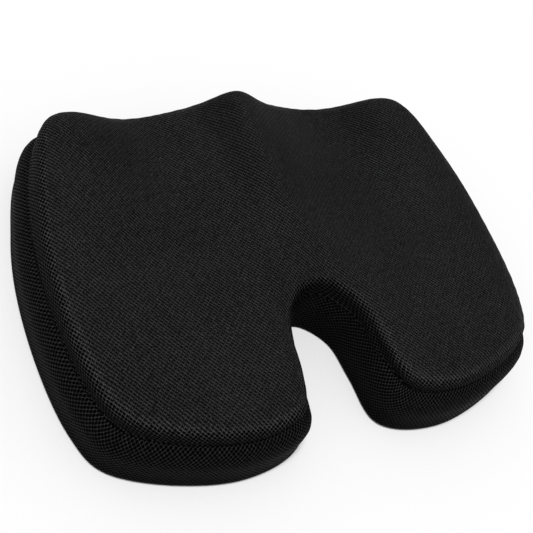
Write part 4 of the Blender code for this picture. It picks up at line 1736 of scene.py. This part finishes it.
@dataclass
class Studio:
    """Pale floor, soft lights and the camera."""

    finishes: Finishes
    target: tuple[float, float, float] = (-0.0146, -0.0054, 0.030)
    distance: float = 0.7351
    azimuth: float = -45.45
    elevation: float = 49.37
    roll: float = 29.08
    lens: float = 55.54
    sensor: float = 36.0
    clipping: Pair = (0.01, 50.0)
    floor_size: float = 60.0
    sky: float = 0.45
    sun_from: tuple[float, float, float] = (-0.17, -0.07, 1.0)
    sun_angle: float = 17.0
    sun_power: float = 2.35

    def build(self) -> None:
        """Set the stage."""
        self._camera()
        self._floor()
        self._lights()

    def _camera(self) -> None:
        """Place the camera above the rear left corner, turned about its line of sight."""
        az, el, turn = (math.radians(x) for x in (self.azimuth, self.elevation, self.roll))
        back = Vector((math.sin(az) * math.cos(el), -math.cos(az) * math.cos(el), math.sin(el)))
        level_right = (-back).cross(Vector((0, 0, 1))).normalized()
        level_up = level_right.cross(-back)
        right = level_right * math.cos(turn) + level_up * math.sin(turn)
        up = level_up * math.cos(turn) - level_right * math.sin(turn)
        data = bpy.data.cameras.new("camera")
        data.lens, data.sensor_width = self.lens, self.sensor
        data.clip_start, data.clip_end = self.clipping
        camera = stand("camera", data)
        camera.matrix_world = Matrix((right, up, back)).transposed().to_4x4()
        camera.location = Vector(self.target) + back * self.distance
        bpy.context.scene.camera = camera

    def _floor(self) -> None:
        """Lay the floor."""
        half = self.floor_size / 2
        mesh = bpy.data.meshes.new("floor")
        mesh.from_pydata([(-half, -half, 0), (half, -half, 0), (half, half, 0), (-half, half, 0)], [],
                         [[0, 1, 2, 3]])
        mesh.materials.append(self.finishes.paper)
        stand("floor", mesh)

    def _lights(self) -> None:
        """Light the set from above, a little to the left, over a dim surround."""
        world = bpy.data.worlds.new("surround")
        world.use_nodes = True
        sky = world.node_tree.nodes["Background"]
        sky.inputs["Color"].default_value = (1, 1, 1, 1)
        sky.inputs["Strength"].default_value = self.sky
        bpy.context.scene.world = world
        bpy.context.scene.view_settings.view_transform = "Standard"
        data = bpy.data.lights.new("key_light", "SUN")
        data.angle, data.energy = math.radians(self.sun_angle), self.sun_power
        light = stand("key_light", data)
        light.rotation_euler = Vector(self.sun_from).to_track_quat("Z", "Y").to_euler()


def main() -> None:
    """Build the cushion's sub-assemblies in order around the CAD frame."""
    slide = next(joint for joint in frame["joints"] if joint["name"] == "zip_slide")
    band_low, band_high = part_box("cover_side_band")
    front_radius = band_high.y - slide["pos_m"][1]
    zip_height = slide["pos_m"][2]
    finishes = Finishes()
    plan = Plan(width=band_high.x - band_low.x, length=band_high.y - band_low.y,
                front_radius=front_radius, window_half=WINDOW_HALF)
    skin = Skin(plan, Contours(length=plan.length), WINDOW_HEIGHTS)
    PuffedCover().run(skin)
    Studio(finishes).build()
    Cover(finishes, skin).build()
    Filling(finishes, skin).build()
    Zip(finishes, plan, zip_height).build()


if __name__ == "__main__":
    logging.basicConfig(level=logging.INFO, format="%(name)s: %(message)s")
    main()
